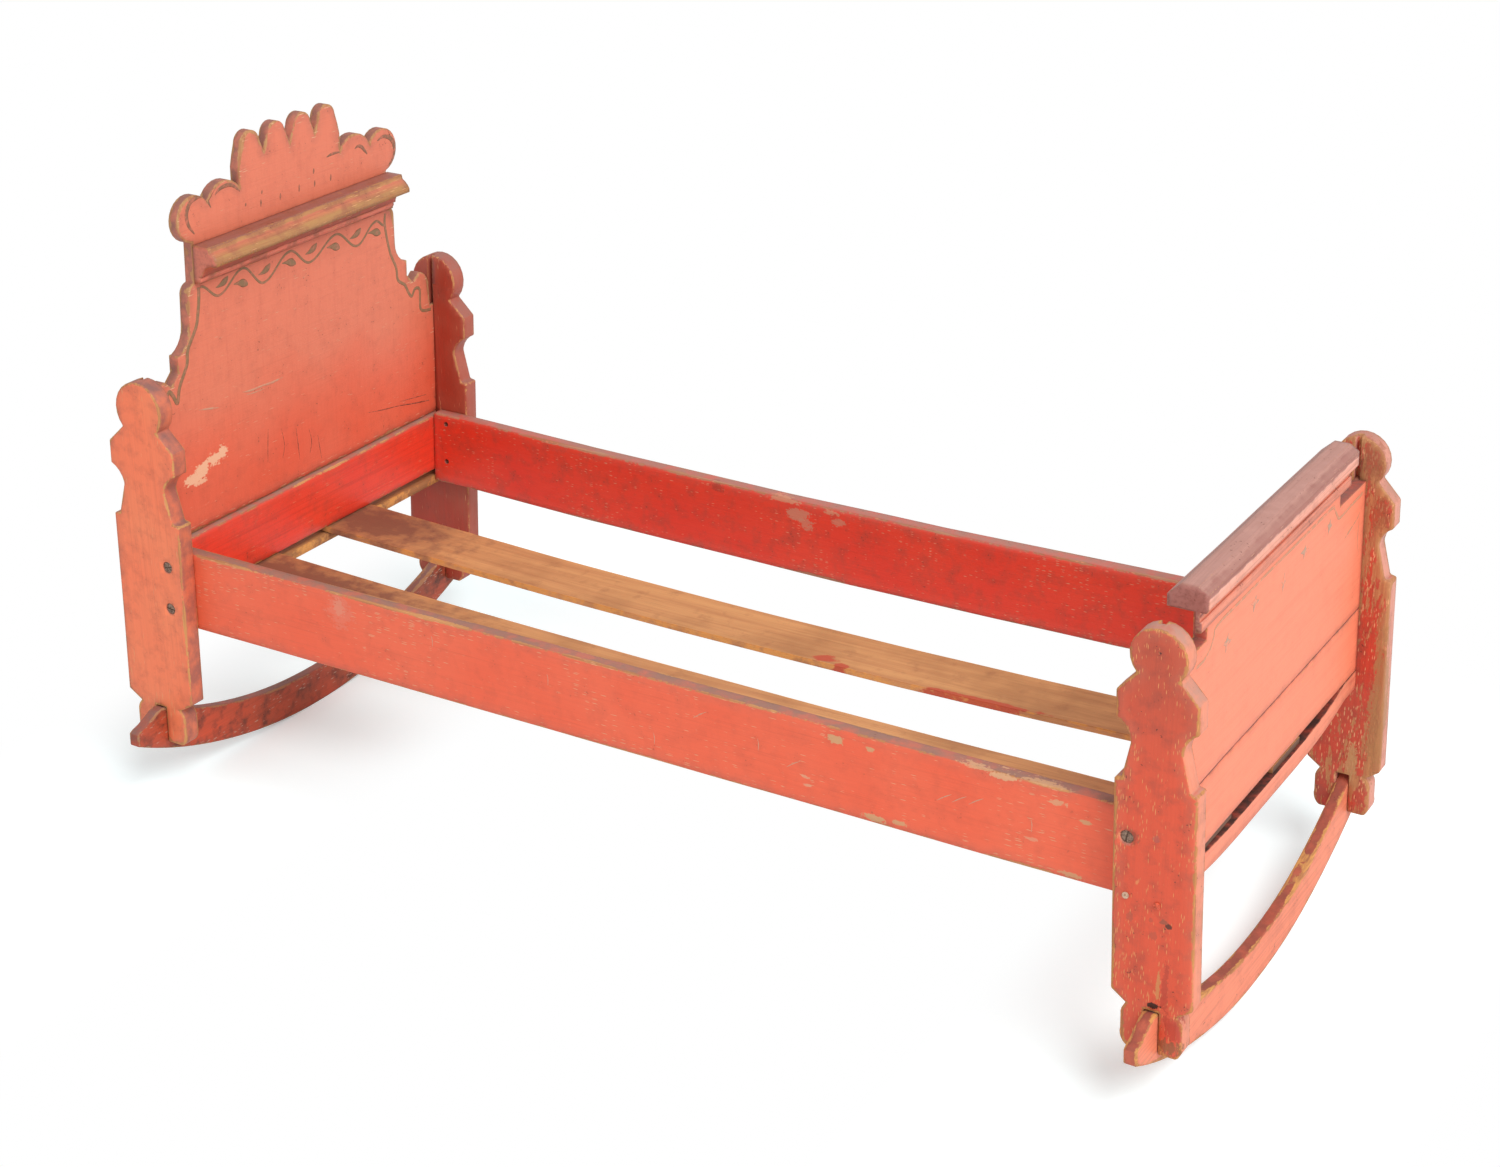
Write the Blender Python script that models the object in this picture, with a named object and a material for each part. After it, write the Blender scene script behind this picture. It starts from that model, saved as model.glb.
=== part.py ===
"""A painted wooden rocking doll bed, built board by board.

X runs from the head of the bed to its foot, Y runs across it and Z points up.
The origin lies on the floor under the middle of the bed. Lengths are in metres.
The near side is the one at -Y.
"""
import math

import bmesh
import bpy
from mathutils import Vector

# Whole bed
BED_LENGTH = 0.700
BED_WIDTH = 0.295
SEAT_GAP = 0.0003
CUT_OVERRUN = 0.002
EDGE_WEAR = 0.0006
SMALL_EDGE_WEAR = 0.0004

# Rockers, one across each end
ROCKER_RADIUS = 0.366
ROCKER_HOLLOW_RADIUS = 0.325
ROCKER_MIDDLE_DEPTH = 0.024
ROCKER_THICKNESS = 0.0073
ROCKER_OVERHANG = 0.0250
ROCKER_SHOE_TIP_DEPTH = 0.0080
ROCKER_UNDERSIDE_SIDES = 41
ROCKER_HOLLOW_SIDES = 30

# Corner posts, sawn from flat board
HEAD_POST_WIDTH = 0.051
FOOT_POST_WIDTH = 0.0435
POST_THICKNESS = 0.0115
POST_SLOT_COVER = 0.0065
POST_FOOT_HEIGHT = 0.0305
POST_BODY_HEIGHT = 0.1194
POST_HEAD_HEIGHT = 0.087

# How the old frame stands: both ends lean inwards by this share of the height above the rails'
# underside. The cage that leans them reaches past every piece.
END_LEAN_SHARE = 0.0445
CAGE_MARGIN = 0.02
CAGE_HALF_HEIGHT = 0.32

# Groove down the inner face of each post, and the tongues that run in it
GROOVE_SETBACK = 0.023
GROOVE_WIDTH = 0.0036
GROOVE_DEPTH = 0.0045

# Side rails
RAIL_HEIGHT = 0.050
RAIL_THICKNESS = 0.0085
RAIL_RISE = 0.0478

# How far the far rail has bowed inwards, by side of the bed, and the flat steps of a bent board
RAIL_BOWS = {-1: 0.0, 1: 0.009}
BOW_STEPS = 16

# Boards of the two ends
END_BOARD_THICKNESS = 0.012
PANEL_THICKNESS = 0.0075
HEAD_BOARD_HEIGHT = 0.0395
HEAD_BOARD_RISE = 0.008
HEADBOARD_HEIGHT = 0.237
FOOT_BOARD_HEIGHT = 0.039
FOOT_BOARD_RISE = 0.014
FOOTBOARD_HEIGHT = 0.098
FOOTBOARD_SHOULDER_DROP = 0.0215
FOOTBOARD_SHOULDER_NEAR = 0.0375
FOOTBOARD_SHOULDER_FAR = 0.043

# Crown moulding on the headboard
CROWN_SEAT = 0.1562
CROWN_LENGTH = 0.1837
CROWN_HEIGHT = 0.0235
CROWN_DEPTH = 0.0185

# Cap of the footboard
CAP_WIDTH = 0.0216
CAP_HEIGHT = 0.0132
CAP_OVERHANG_NEAR = 0.0165
CAP_OVERHANG_FAR = 0.006
CAP_LIP_HEIGHT = 0.011
CAP_LIP_THICKNESS = 0.0036

# Slats and the strips that carry their ends
SLAT_THICKNESS = 0.0038
SLAT_PLAY = 0.0006
SLAT_END_SETBACK = 0.0015
SLAT_SAGS = {"slat_near": 0.004, "slat_middle": 0.0065}
SLAT_STRAIGHT_END = 0.012
HEAD_BEARER_HEIGHT = 0.006
FOOT_BEARER_HEIGHT = 0.0115
FOOT_BEARER_BOW = 0.007
FOOT_BEARER_BOW_SHARE = 0.86
FOOT_BEARER_SIDES = 48

# Screws and nails
SCREW_HEAD_RADIUS = 0.0034
SCREW_HEAD_DEPTH = 0.0022
SCREW_SHANK_RADIUS = 0.0015
SCREW_POINT_LENGTH = 0.004
SCREW_SLOT_WIDTH = 0.0009
SCREW_SLOT_DEPTH = 0.0007
NAIL_HEAD_RADIUS = 0.0018
NAIL_HEAD_THICKNESS = 0.0006
NAIL_SHANK_RADIUS = 0.0008
NAIL_POINT_LENGTH = 0.003
NAIL_BITE = 0.009
ROUND_SIDES = 16

# Heights of the fasteners as shares of the rail's height, and their place across the end boards
HEAD_SCREW_HEIGHT_SHARES = {"upper": 0.87, "lower": 0.32}
FOOT_SCREW_HEIGHT_SHARE = 0.81
FOOT_NAIL_HEIGHT_SHARE = 0.16
BEARER_NAIL_ACROSS_SHARE = 0.21
BEARER_NAIL_HEIGHT_SHARE = 0.42

# Half outline of a post above its body, bottom to top: (share of the half width, share of the
# head's height, bulge of the side that starts there). A bulge is the tangent of a quarter of the
# side's sweep, positive where the side swells outwards.
POST_HEAD_SHARES = (
    (1.000, 0.000, 0.0),
    (0.830, 0.010, 0.0),
    (0.630, 0.230, 0.0),
    (0.630, 0.250, -0.25),
    (0.990, 0.375, 0.0),
    (0.990, 0.540, 0.0),
    (0.520, 0.668, 2.21),
)

# Half outline of a post's foot, bottom to top, as shares of the half width and the foot's height
POST_FOOT_SHARES = (
    (0.620, 0.000, 0.28),
    (0.752, 0.300, 0.0),
    (0.752, 0.540, 0.25),
    (0.620, 0.800, 0.0),
    (1.000, 1.000, 0.0),
)

# Half outline of the headboard above its plain foot, bottom to top, as shares of the half width
# between the posts and of the headboard's height
HEADBOARD_EDGE_SHARES = (
    (0.980, 0.326, 0.0),
    (0.972, 0.392, 0.34),
    (0.898, 0.436, 0.0),
    (0.855, 0.414, 0.0),
    (0.807, 0.442, 0.0),
    (0.807, 0.487, 0.0),
    (0.792, 0.487, -0.30),
    (0.722, 0.549, 0.0),
    (0.718, 0.634, 0.36),
    (0.674, 0.659, 0.0),
    (0.671, 0.762, 1.51),
    (0.558, 0.852, 0.58),
    (0.346, 0.862, 0.0),
    (0.346, 0.910, 0.04),
    (0.318, 0.966, 0.90),
    (0.201, 0.966, 0.0),
    (0.174, 0.932, 0.0),
    (0.147, 0.968, 0.90),
    (0.030, 0.968, 0.0),
    (0.000, 0.930, 0.0),
)

# The crown moulding's end profile, as shares of its depth and height, from the bottom at the
# board, out and up; its last side is the flat back
CROWN_SHARES = (
    (0.00, 0.00, 0.0),
    (0.22, 0.00, 0.0),
    (0.22, 0.05, 0.50),
    (0.22, 0.19, 0.0),
    (0.35, 0.19, 0.0),
    (0.35, 0.25, -0.36),
    (0.84, 0.52, 0.0),
    (1.00, 0.54, 0.0),
    (1.00, 0.64, 0.16),
    (0.70, 0.88, 0.0),
    (0.66, 1.00, 0.0),
    (0.00, 1.00, 0.0),
)

# The cap's upper profile, as shares of its width and height, from the bottom at its outer side
CAP_SHARES = (
    (0.94, 0.00, 0.0),
    (1.00, 0.14, 0.0),
    (1.00, 0.74, 0.0),
    (0.75, 1.00, 0.0),
    (0.35, 1.00, 0.0),
    (0.00, 0.49, 0.0),
    (0.00, 0.00, 0.0),
)

# The bead under the cap, as shares of the lip's thickness and height, from the cap down
CAP_LIP_SHARES = (
    (0.55, 1.00, 0.0),
    (0.55, 0.48, 0.0),
    (0.90, 0.44, 0.85),
    (0.90, 0.04, 0.0),
    (0.50, 0.00, 0.0),
)

# Where the two slats that are left lie: their edges at the head and at the foot, as shares of
# half the width between the posts
SLAT_EDGE_SHARES = {
    "slat_near": {"head": (-0.595, -0.260), "foot": (-0.665, -0.385)},
    "slat_middle": {"head": (0.093, 0.428), "foot": (0.052, 0.350)},
}

# The rocker's shoe outside the post: shares of the overhang and of the rise above the
# underside at the post, from the post out to the tip
ROCKER_SHOE_SHARES = (
    (0.10, 1.02),
    (0.28, 0.99),
    (0.48, 0.90),
    (0.70, 0.81),
    (0.90, 0.76),
)

ARC_STEP = math.radians(15.0)
SHARP_ANGLE = math.radians(30.0)

HALF_LENGTH = BED_LENGTH / 2
HALF_WIDTH = BED_WIDTH / 2
HALF_CLEAR = HALF_WIDTH - POST_THICKNESS
GROOVE_MIDDLE = HALF_LENGTH - GROOVE_SETBACK
TONGUE = GROOVE_WIDTH / 2 - SEAT_GAP
TONGUE_END = HALF_CLEAR + GROOVE_DEPTH - SEAT_GAP
BOARD_OUTSIDE = GROOVE_MIDDLE - TONGUE + PANEL_THICKNESS
BOARD_INSIDE = BOARD_OUTSIDE - END_BOARD_THICKNESS
PANEL_INSIDE = GROOVE_MIDDLE - TONGUE


def post_width(end):
    """Width of the posts at the head, where end is -1, or at the foot."""
    return HEAD_POST_WIDTH if end < 0 else FOOT_POST_WIDTH


def post_middle(end):
    """Place along the bed of the middle of an end's posts."""
    return end * (HALF_LENGTH - post_width(end) / 2)


def overlap_middle(end):
    """Place along the bed of the middle of a rail's stretch behind a post."""
    return end * (BOARD_INSIDE + HALF_LENGTH - post_width(end)) / 2


def underside(across):
    """Height of the rocker's underside at a distance from the middle."""
    return ROCKER_RADIUS - math.sqrt(ROCKER_RADIUS ** 2 - across ** 2)


def hollow(across):
    """Height of the rocker's upper edge between the posts."""
    drop = math.sqrt(ROCKER_HOLLOW_RADIUS ** 2 - across ** 2)
    return ROCKER_MIDDLE_DEPTH + ROCKER_HOLLOW_RADIUS - drop


SLOT_ROOF = hollow(HALF_WIDTH) + SEAT_GAP
BODY_BOTTOM = SLOT_ROOF + POST_SLOT_COVER
BODY_TOP = BODY_BOTTOM + POST_BODY_HEIGHT
FOOT_BOTTOM = BODY_BOTTOM - POST_FOOT_HEIGHT
RAIL_BOTTOM = BODY_BOTTOM + RAIL_RISE
HEAD_BOARD_BOTTOM = RAIL_BOTTOM + HEAD_BOARD_RISE
HEADBOARD_BOTTOM = HEAD_BOARD_BOTTOM + HEAD_BOARD_HEIGHT + SEAT_GAP
FOOT_BOARD_BOTTOM = RAIL_BOTTOM + FOOT_BOARD_RISE
FOOTBOARD_BOTTOM = FOOT_BOARD_BOTTOM + FOOT_BOARD_HEIGHT + SEAT_GAP
FOOTBOARD_TOP = FOOTBOARD_BOTTOM + FOOTBOARD_HEIGHT
HEAD_BEARER_TOP = HEAD_BOARD_BOTTOM - SLAT_THICKNESS - SLAT_PLAY - SEAT_GAP
HEAD_BEARER_BOTTOM = HEAD_BEARER_TOP - HEAD_BEARER_HEIGHT


def clear_scene():
    """Takes every object out of the scene."""
    for old in list(bpy.data.objects):
        bpy.data.objects.remove(old, do_unlink=True)


def finish(name, colour, roughness, metallic):
    """A plain surface with one colour."""
    material = bpy.data.materials.new(name)
    material.use_nodes = True
    surface = material.node_tree.nodes["Principled BSDF"]
    surface.inputs["Base Color"].default_value = (*colour, 1.0)
    surface.inputs["Roughness"].default_value = roughness
    surface.inputs["Metallic"].default_value = metallic
    material.diffuse_color = (*colour, 1.0)
    return material


def add_object(name, mesh_data, material):
    """Puts a bmesh into the scene as an object whose faces point outwards."""
    bmesh.ops.recalc_face_normals(mesh_data, faces=mesh_data.faces)
    mesh = bpy.data.meshes.new(name)
    mesh_data.to_mesh(mesh)
    mesh_data.free()
    thing = bpy.data.objects.new(name, mesh)
    bpy.context.scene.collection.objects.link(thing)
    if material is not None:
        mesh.materials.append(material)
    return thing


def arc_points(start, end, bulge):
    """Points from start up to end, without the end, along a straight or round side."""
    if bulge == 0.0:
        return [start]
    sweep = 4 * math.atan(bulge)
    steps = max(2, math.ceil(abs(sweep) / ARC_STEP))
    chord = end - start
    right = Vector((chord.y, -chord.x))
    middle = (start + end) / 2
    centre = middle - right * ((1 - bulge ** 2) / (4 * bulge))
    spoke = start - centre
    points = []
    for step in range(steps):
        turn = sweep * step / steps
        cosine, sine = math.cos(turn), math.sin(turn)
        spun = Vector((spoke.x * cosine - spoke.y * sine, spoke.x * sine + spoke.y * cosine))
        points.append(centre + spun)
    return points


def round_outline(corners):
    """A closed outline from corners (across, up, bulge), listed anticlockwise."""
    outline = []
    for index, (across, up, bulge) in enumerate(corners):
        following = corners[(index + 1) % len(corners)]
        outline += arc_points(Vector((across, up)), Vector(following[:2]), bulge)
    return outline


def mirrored(half):
    """Both halves of a symmetric outline, from its right half listed bottom to top."""
    whole = list(half)
    if half[-1][0] == 0.0:
        whole[-1] = (*half[-1][:2], half[-2][2])
    for index in range(len(half) - 1, -1, -1):
        across, up, _ = half[index]
        bulge = half[index - 1][2] if index else 0.0
        if across > 0.0:
            whole.append((-across, up, bulge))
    return whole


def scaled(shares, width, height, base):
    """Corners in metres from a table of shares."""
    return [(across * width, base + up * height, bulge) for across, up, bulge in shares]


def sawn_board(name, outline, low, high, along, material):
    """A flat board: the outline swept from low to high along X or Y."""
    shape = bmesh.new()
    corners = []
    for point in outline:
        place = (low, point.x, point.y) if along == "X" else (point.x, low, point.y)
        corners.append(shape.verts.new(place))
    face = shape.faces.new(corners)
    swept = bmesh.ops.extrude_face_region(shape, geom=[face])
    moved = [item for item in swept["geom"] if isinstance(item, bmesh.types.BMVert)]
    travel = Vector((high - low, 0, 0)) if along == "X" else Vector((0, high - low, 0))
    bmesh.ops.translate(shape, verts=moved, vec=travel)
    return add_object(name, shape, material)


def box(name, low, high, material):
    """A plain block between two opposite corners, with its origin in its middle."""
    low, high = Vector(low), Vector(high)
    shape = bmesh.new()
    bmesh.ops.create_cube(shape, size=1)
    bmesh.ops.scale(shape, verts=shape.verts, vec=high - low)
    block = add_object(name, shape, material)
    block.location = (low + high) / 2
    return block


def turned(name, profile, material):
    """A round piece about Z, from (radius, height) pairs that start and end on its axis."""
    shape = bmesh.new()
    verts = [shape.verts.new((radius, 0, height)) for radius, height in profile]
    edges = [shape.edges.new(pair) for pair in zip(verts, verts[1:])]
    bmesh.ops.spin(
        shape, geom=verts + edges, cent=(0, 0, 0), axis=(0, 0, 1),
        angle=math.tau, steps=ROUND_SIDES, use_duplicate=False,
    )
    bmesh.ops.remove_doubles(shape, verts=shape.verts, dist=SEAT_GAP / 10)
    piece = add_object(name, shape, material)
    piece.data.shade_smooth()
    piece.data.set_sharp_from_angle(angle=SHARP_ANGLE)
    return piece


def cut(target, cutter):
    """Cuts one piece by a hidden tool that stays in the scene as a guide."""
    cutter.hide_render = True
    cutter.display_type = "WIRE"
    difference = target.modifiers.new("Cut " + cutter.name, "BOOLEAN")
    difference.operation = "DIFFERENCE"
    difference.object = cutter


def wear(target, width):
    """Takes the sharpness off a piece's edges."""
    bevel = target.modifiers.new("Worn edges", "BEVEL")
    bevel.width = width
    bevel.segments = 1
    bevel.limit_method = "ANGLE"
    bevel.angle_limit = math.radians(40)


def cut_tongues(board, end, inside, low, high):
    """Thins a board's two ends to the tongues that run in the posts' grooves."""
    outside = BOARD_OUTSIDE + CUT_OVERRUN
    layers = {"outer": (GROOVE_MIDDLE + TONGUE, outside)}
    if inside < PANEL_INSIDE:
        layers["inner"] = (inside - CUT_OVERRUN, PANEL_INSIDE)
    for side in (-1, 1):
        reach = sorted((side * (HALF_CLEAR - SEAT_GAP), side * (HALF_WIDTH + CUT_OVERRUN)))
        for layer, depths in layers.items():
            along = sorted(end * depth for depth in depths)
            tool = box(
                f"{board.name}_tongue_{layer}_{side}",
                (along[0], reach[0], low - CUT_OVERRUN),
                (along[1], reach[1], high + CUT_OVERRUN), None,
            )
            cut(board, tool)


def end_board(name, end, inside, low, high, material):
    """A straight board of the head or foot, tongued into both posts."""
    along = sorted((end * inside, end * BOARD_OUTSIDE))
    board = box(name, (along[0], -TONGUE_END, low), (along[1], TONGUE_END, high), material)
    wear(board, SMALL_EDGE_WEAR)
    cut_tongues(board, end, inside, low, high)
    return board


def post_outline(half_width):
    """The outline that all four posts are sawn to, about the post's middle."""
    slot = ROCKER_THICKNESS / 2 + SEAT_GAP
    half = [(slot, SLOT_ROOF, 0.0), (slot, FOOT_BOTTOM, 0.0)]
    foot = scaled(POST_FOOT_SHARES, half_width, POST_FOOT_HEIGHT, FOOT_BOTTOM)
    head = scaled(POST_HEAD_SHARES, half_width, POST_HEAD_HEIGHT, BODY_TOP)
    return round_outline(mirrored(half + foot + head))


def make_post(name, end, side, material):
    """One corner post, with the groove for the end boards down its inner face."""
    middle = post_middle(end)
    outline = [Vector((middle + point.x, point.y)) for point in post_outline(post_width(end) / 2)]
    faces = sorted((side * HALF_CLEAR, side * HALF_WIDTH))
    post = sawn_board(name, outline, faces[0], faces[1], "Y", material)
    wear(post, EDGE_WEAR)
    depths = sorted((side * (HALF_CLEAR - CUT_OVERRUN), side * (HALF_CLEAR + GROOVE_DEPTH)))
    stop = HEAD_BEARER_BOTTOM if end < 0 else FOOT_BOARD_BOTTOM - SEAT_GAP - FOOT_BEARER_HEIGHT
    groove = end * GROOVE_MIDDLE
    tool = box(
        name + "_groove",
        (groove - GROOVE_WIDTH / 2, depths[0], stop - SEAT_GAP),
        (groove + GROOVE_WIDTH / 2, depths[1], BODY_TOP + POST_HEAD_HEIGHT + CUT_OVERRUN), None,
    )
    cut(post, tool)
    return post


def bow(thing, reach, travel):
    """Bends a long board's middle by a vector and leaves its ends, beyond reach, straight."""
    shape = bmesh.new()
    shape.from_mesh(thing.data)
    for step in range(BOW_STEPS + 1):
        at = Vector((reach * (2 * step / BOW_STEPS - 1), 0, 0))
        parts = shape.verts[:] + shape.edges[:] + shape.faces[:]
        bmesh.ops.bisect_plane(shape, geom=parts, plane_co=at, plane_no=(1, 0, 0))
    for vert in shape.verts:
        share = min(1.0, abs(vert.co.x) / reach)
        vert.co += travel * (1 - share ** 2)
    shape.to_mesh(thing.data)
    shape.free()


def make_rail(name, side, material):
    """One side rail, flat against the posts' inner faces and butted to the end boards."""
    reach = BOARD_INSIDE - SEAT_GAP
    faces = sorted((side * (HALF_CLEAR - SEAT_GAP), side * (HALF_CLEAR - SEAT_GAP - RAIL_THICKNESS)))
    low = (-reach, faces[0], RAIL_BOTTOM)
    high = (reach, faces[1], RAIL_BOTTOM + RAIL_HEIGHT)
    rail = box(name, low, high, material)
    if RAIL_BOWS[side]:
        bow(rail, HALF_LENGTH - HEAD_POST_WIDTH, Vector((0, -side * RAIL_BOWS[side], 0)))
    wear(rail, EDGE_WEAR)
    return rail


def make_headboard(material):
    """The tall scalloped board of the head."""
    plain = HEADBOARD_EDGE_SHARES[0][1] * HEADBOARD_HEIGHT + HEADBOARD_BOTTOM
    half = [(TONGUE_END, HEADBOARD_BOTTOM, 0.0), (TONGUE_END, plain, 0.0)]
    half += scaled(HEADBOARD_EDGE_SHARES, HALF_CLEAR, HEADBOARD_HEIGHT, HEADBOARD_BOTTOM)
    outline = round_outline(mirrored(half))
    board = sawn_board("headboard_panel", outline, -BOARD_OUTSIDE, -PANEL_INSIDE, "X", material)
    wear(board, SMALL_EDGE_WEAR)
    cut_tongues(board, -1, PANEL_INSIDE, HEADBOARD_BOTTOM, plain)
    return board


def make_crown(material):
    """The crown moulding across the headboard's face."""
    reach = CROWN_LENGTH / 2
    face = -PANEL_INSIDE + SEAT_GAP
    profile = scaled(CROWN_SHARES, CROWN_DEPTH, CROWN_HEIGHT, HEADBOARD_BOTTOM + CROWN_SEAT)
    outline = [Vector((face + point.x, point.y)) for point in round_outline(profile)]
    return sawn_board("headboard_crown_moulding", outline, -reach, reach, "Y", material)


def make_footboard(material):
    """The low board of the foot, stepped down to a shoulder beside each post."""
    shoulder = FOOTBOARD_TOP - FOOTBOARD_SHOULDER_DROP
    near = -HALF_CLEAR + FOOTBOARD_SHOULDER_NEAR
    far = HALF_CLEAR - FOOTBOARD_SHOULDER_FAR
    outline = [
        Vector((-TONGUE_END, FOOTBOARD_BOTTOM)), Vector((TONGUE_END, FOOTBOARD_BOTTOM)),
        Vector((TONGUE_END, shoulder)), Vector((far, shoulder)), Vector((far, FOOTBOARD_TOP)),
        Vector((near, FOOTBOARD_TOP)), Vector((near, shoulder)), Vector((-TONGUE_END, shoulder)),
    ]
    board = sawn_board("footboard_panel", outline, PANEL_INSIDE, BOARD_OUTSIDE, "X", material)
    wear(board, SMALL_EDGE_WEAR)
    cut_tongues(board, 1, PANEL_INSIDE, FOOTBOARD_BOTTOM, shoulder)
    return board


def make_cap(material):
    """The moulded cap that sits on the footboard, with a bead down its outer face."""
    seat = FOOTBOARD_TOP + SEAT_GAP
    inner = (PANEL_INSIDE + BOARD_OUTSIDE - CAP_WIDTH) / 2
    face = BOARD_OUTSIDE + SEAT_GAP
    corners = [(face, seat - CAP_LIP_HEIGHT, 0.0)]
    for across, up, bulge in reversed(CAP_LIP_SHARES):
        corners.append((face + across * CAP_LIP_THICKNESS, seat + (up - 1) * CAP_LIP_HEIGHT, bulge))
    for across, up, bulge in CAP_SHARES:
        corners.append((inner + across * CAP_WIDTH, seat + up * CAP_HEIGHT, bulge))
    corners.append((face, seat, 0.0))
    outline = round_outline(corners)
    near = -HALF_CLEAR + FOOTBOARD_SHOULDER_NEAR - CAP_OVERHANG_NEAR
    far = HALF_CLEAR - FOOTBOARD_SHOULDER_FAR + CAP_OVERHANG_FAR
    return sawn_board("footboard_cap", outline, near, far, "Y", material)


def bearer_sag(across):
    """How far the foot's bearer hangs below the board above it."""
    share = min(1.0, abs(across) / (FOOT_BEARER_BOW_SHARE * HALF_CLEAR))
    return SEAT_GAP + FOOT_BEARER_BOW * (1 - share ** 4)


def make_foot_bearer(material):
    """The strip under the foot's lower board, sprung down by the slats that it carries."""
    places = [TONGUE_END * (2 * step / FOOT_BEARER_SIDES - 1) for step in range(FOOT_BEARER_SIDES + 1)]
    top = [Vector((across, FOOT_BOARD_BOTTOM - bearer_sag(across))) for across in places]
    bottom = [point - Vector((0, FOOT_BEARER_HEIGHT)) for point in top]
    outline = bottom + list(reversed(top))
    strip = sawn_board("foot_slat_bearer", outline, BOARD_INSIDE, BOARD_OUTSIDE, "X", material)
    wear(strip, SMALL_EDGE_WEAR)
    cut_tongues(strip, 1, BOARD_INSIDE, FOOT_BOARD_BOTTOM - FOOT_BEARER_HEIGHT, FOOT_BOARD_BOTTOM)
    return strip


def make_slat(name, edges, material):
    """One slat, laid from the head's bearer to the foot's."""
    reach = BOARD_OUTSIDE - SLAT_END_SETBACK
    highest_seat = min(bearer_sag(share * HALF_CLEAR) for share in edges["foot"])
    foot_bottom = FOOT_BOARD_BOTTOM - highest_seat + SEAT_GAP
    head_bottom = HEAD_BEARER_TOP + SEAT_GAP
    shape = bmesh.new()
    bmesh.ops.create_cube(shape, size=1)
    for vert in shape.verts:
        at_foot = vert.co.x > 0
        bottom = foot_bottom if at_foot else head_bottom
        share = edges["foot" if at_foot else "head"][1 if vert.co.y > 0 else 0]
        lift = SLAT_THICKNESS if vert.co.z > 0 else 0
        vert.co = (reach if at_foot else -reach, share * HALF_CLEAR, bottom + lift)
    slat = add_object(name, shape, material)
    bow(slat, reach - SLAT_STRAIGHT_END, Vector((0, 0, -SLAT_SAGS[name])))
    wear(slat, SMALL_EDGE_WEAR)
    return slat


def rocker_outline():
    """The rocker's side: round below, hollow above, with a shoe beyond each post."""
    tip = HALF_WIDTH + ROCKER_OVERHANG
    spread = 2 * math.asin(tip / ROCKER_RADIUS)
    below = []
    for step in range(ROCKER_UNDERSIDE_SIDES + 1):
        angle = spread * (step / ROCKER_UNDERSIDE_SIDES - 0.5)
        below.append(Vector((ROCKER_RADIUS * math.sin(angle), ROCKER_RADIUS * (1 - math.cos(angle)))))
    flat = below[ROCKER_UNDERSIDE_SIDES // 2].y
    below = [point - Vector((0, flat)) for point in below]
    rise = hollow(HALF_WIDTH) - underside(HALF_WIDTH)
    shoe = [Vector((tip, underside(tip) + ROCKER_SHOE_TIP_DEPTH))]
    for out, up in reversed(ROCKER_SHOE_SHARES):
        across = HALF_WIDTH + out * ROCKER_OVERHANG
        shoe.append(Vector((across, underside(HALF_WIDTH) + up * rise)))
    above = []
    for step in range(ROCKER_HOLLOW_SIDES + 1):
        across = HALF_WIDTH * (1 - 2 * step / ROCKER_HOLLOW_SIDES)
        above.append(Vector((across, hollow(across))))
    far_shoe = [Vector((-point.x, point.y)) for point in reversed(shoe)]
    return below + shoe + above + far_shoe


def make_rocker(name, end, material):
    """One rocker, let into the slots of the two posts of its end."""
    middle = post_middle(end)
    low = middle - ROCKER_THICKNESS / 2
    high = middle + ROCKER_THICKNESS / 2
    rocker = sawn_board(name, rocker_outline(), low, high, "X", material)
    wear(rocker, SMALL_EDGE_WEAR)
    return rocker


def drive(thing, place, side):
    """Turns a piece made about Z so that its head faces out of the bed's side."""
    thing.rotation_euler = (-side * math.pi / 2, 0, 0)
    thing.location = place


def make_screw(name, place, side, length, material):
    """A slotted countersunk wood screw, its head flush with the post."""
    profile = [
        (0, -length), (SCREW_SHANK_RADIUS, -length + SCREW_POINT_LENGTH),
        (SCREW_SHANK_RADIUS, -SCREW_HEAD_DEPTH), (SCREW_HEAD_RADIUS, -SEAT_GAP),
        (SCREW_HEAD_RADIUS, 0), (0, 0),
    ]
    screw = turned(name, profile, material)
    tool = box(
        name + "_slot",
        (-SCREW_SLOT_WIDTH / 2, -SCREW_HEAD_RADIUS - CUT_OVERRUN, -SCREW_SLOT_DEPTH),
        (SCREW_SLOT_WIDTH / 2, SCREW_HEAD_RADIUS + CUT_OVERRUN, CUT_OVERRUN), None,
    )
    tool.parent = screw
    cut(screw, tool)
    drive(screw, place, side)
    return screw


def make_screw_hole(name, place, side, length):
    """The tool for a screw's countersunk hole."""
    wide = SCREW_HEAD_RADIUS + SEAT_GAP
    narrow = SCREW_SHANK_RADIUS + SEAT_GAP
    profile = [
        (0, -length - CUT_OVERRUN), (narrow, -length - CUT_OVERRUN),
        (narrow, -SCREW_HEAD_DEPTH - SEAT_GAP), (wide, -2 * SEAT_GAP),
        (wide, CUT_OVERRUN), (0, CUT_OVERRUN),
    ]
    tool = turned(name, profile, None)
    drive(tool, place, side)
    return tool


def make_nail(name, place, side, length, material):
    """A small cut nail with a flat round head that lies on the post."""
    profile = [
        (0, -length), (NAIL_SHANK_RADIUS, -length + NAIL_POINT_LENGTH),
        (NAIL_SHANK_RADIUS, SEAT_GAP), (NAIL_HEAD_RADIUS, SEAT_GAP),
        (NAIL_HEAD_RADIUS, SEAT_GAP + NAIL_HEAD_THICKNESS / 2),
        (NAIL_HEAD_RADIUS / 2, SEAT_GAP + NAIL_HEAD_THICKNESS), (0, SEAT_GAP + NAIL_HEAD_THICKNESS),
    ]
    nail = turned(name, profile, material)
    drive(nail, place, side)
    return nail


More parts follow.
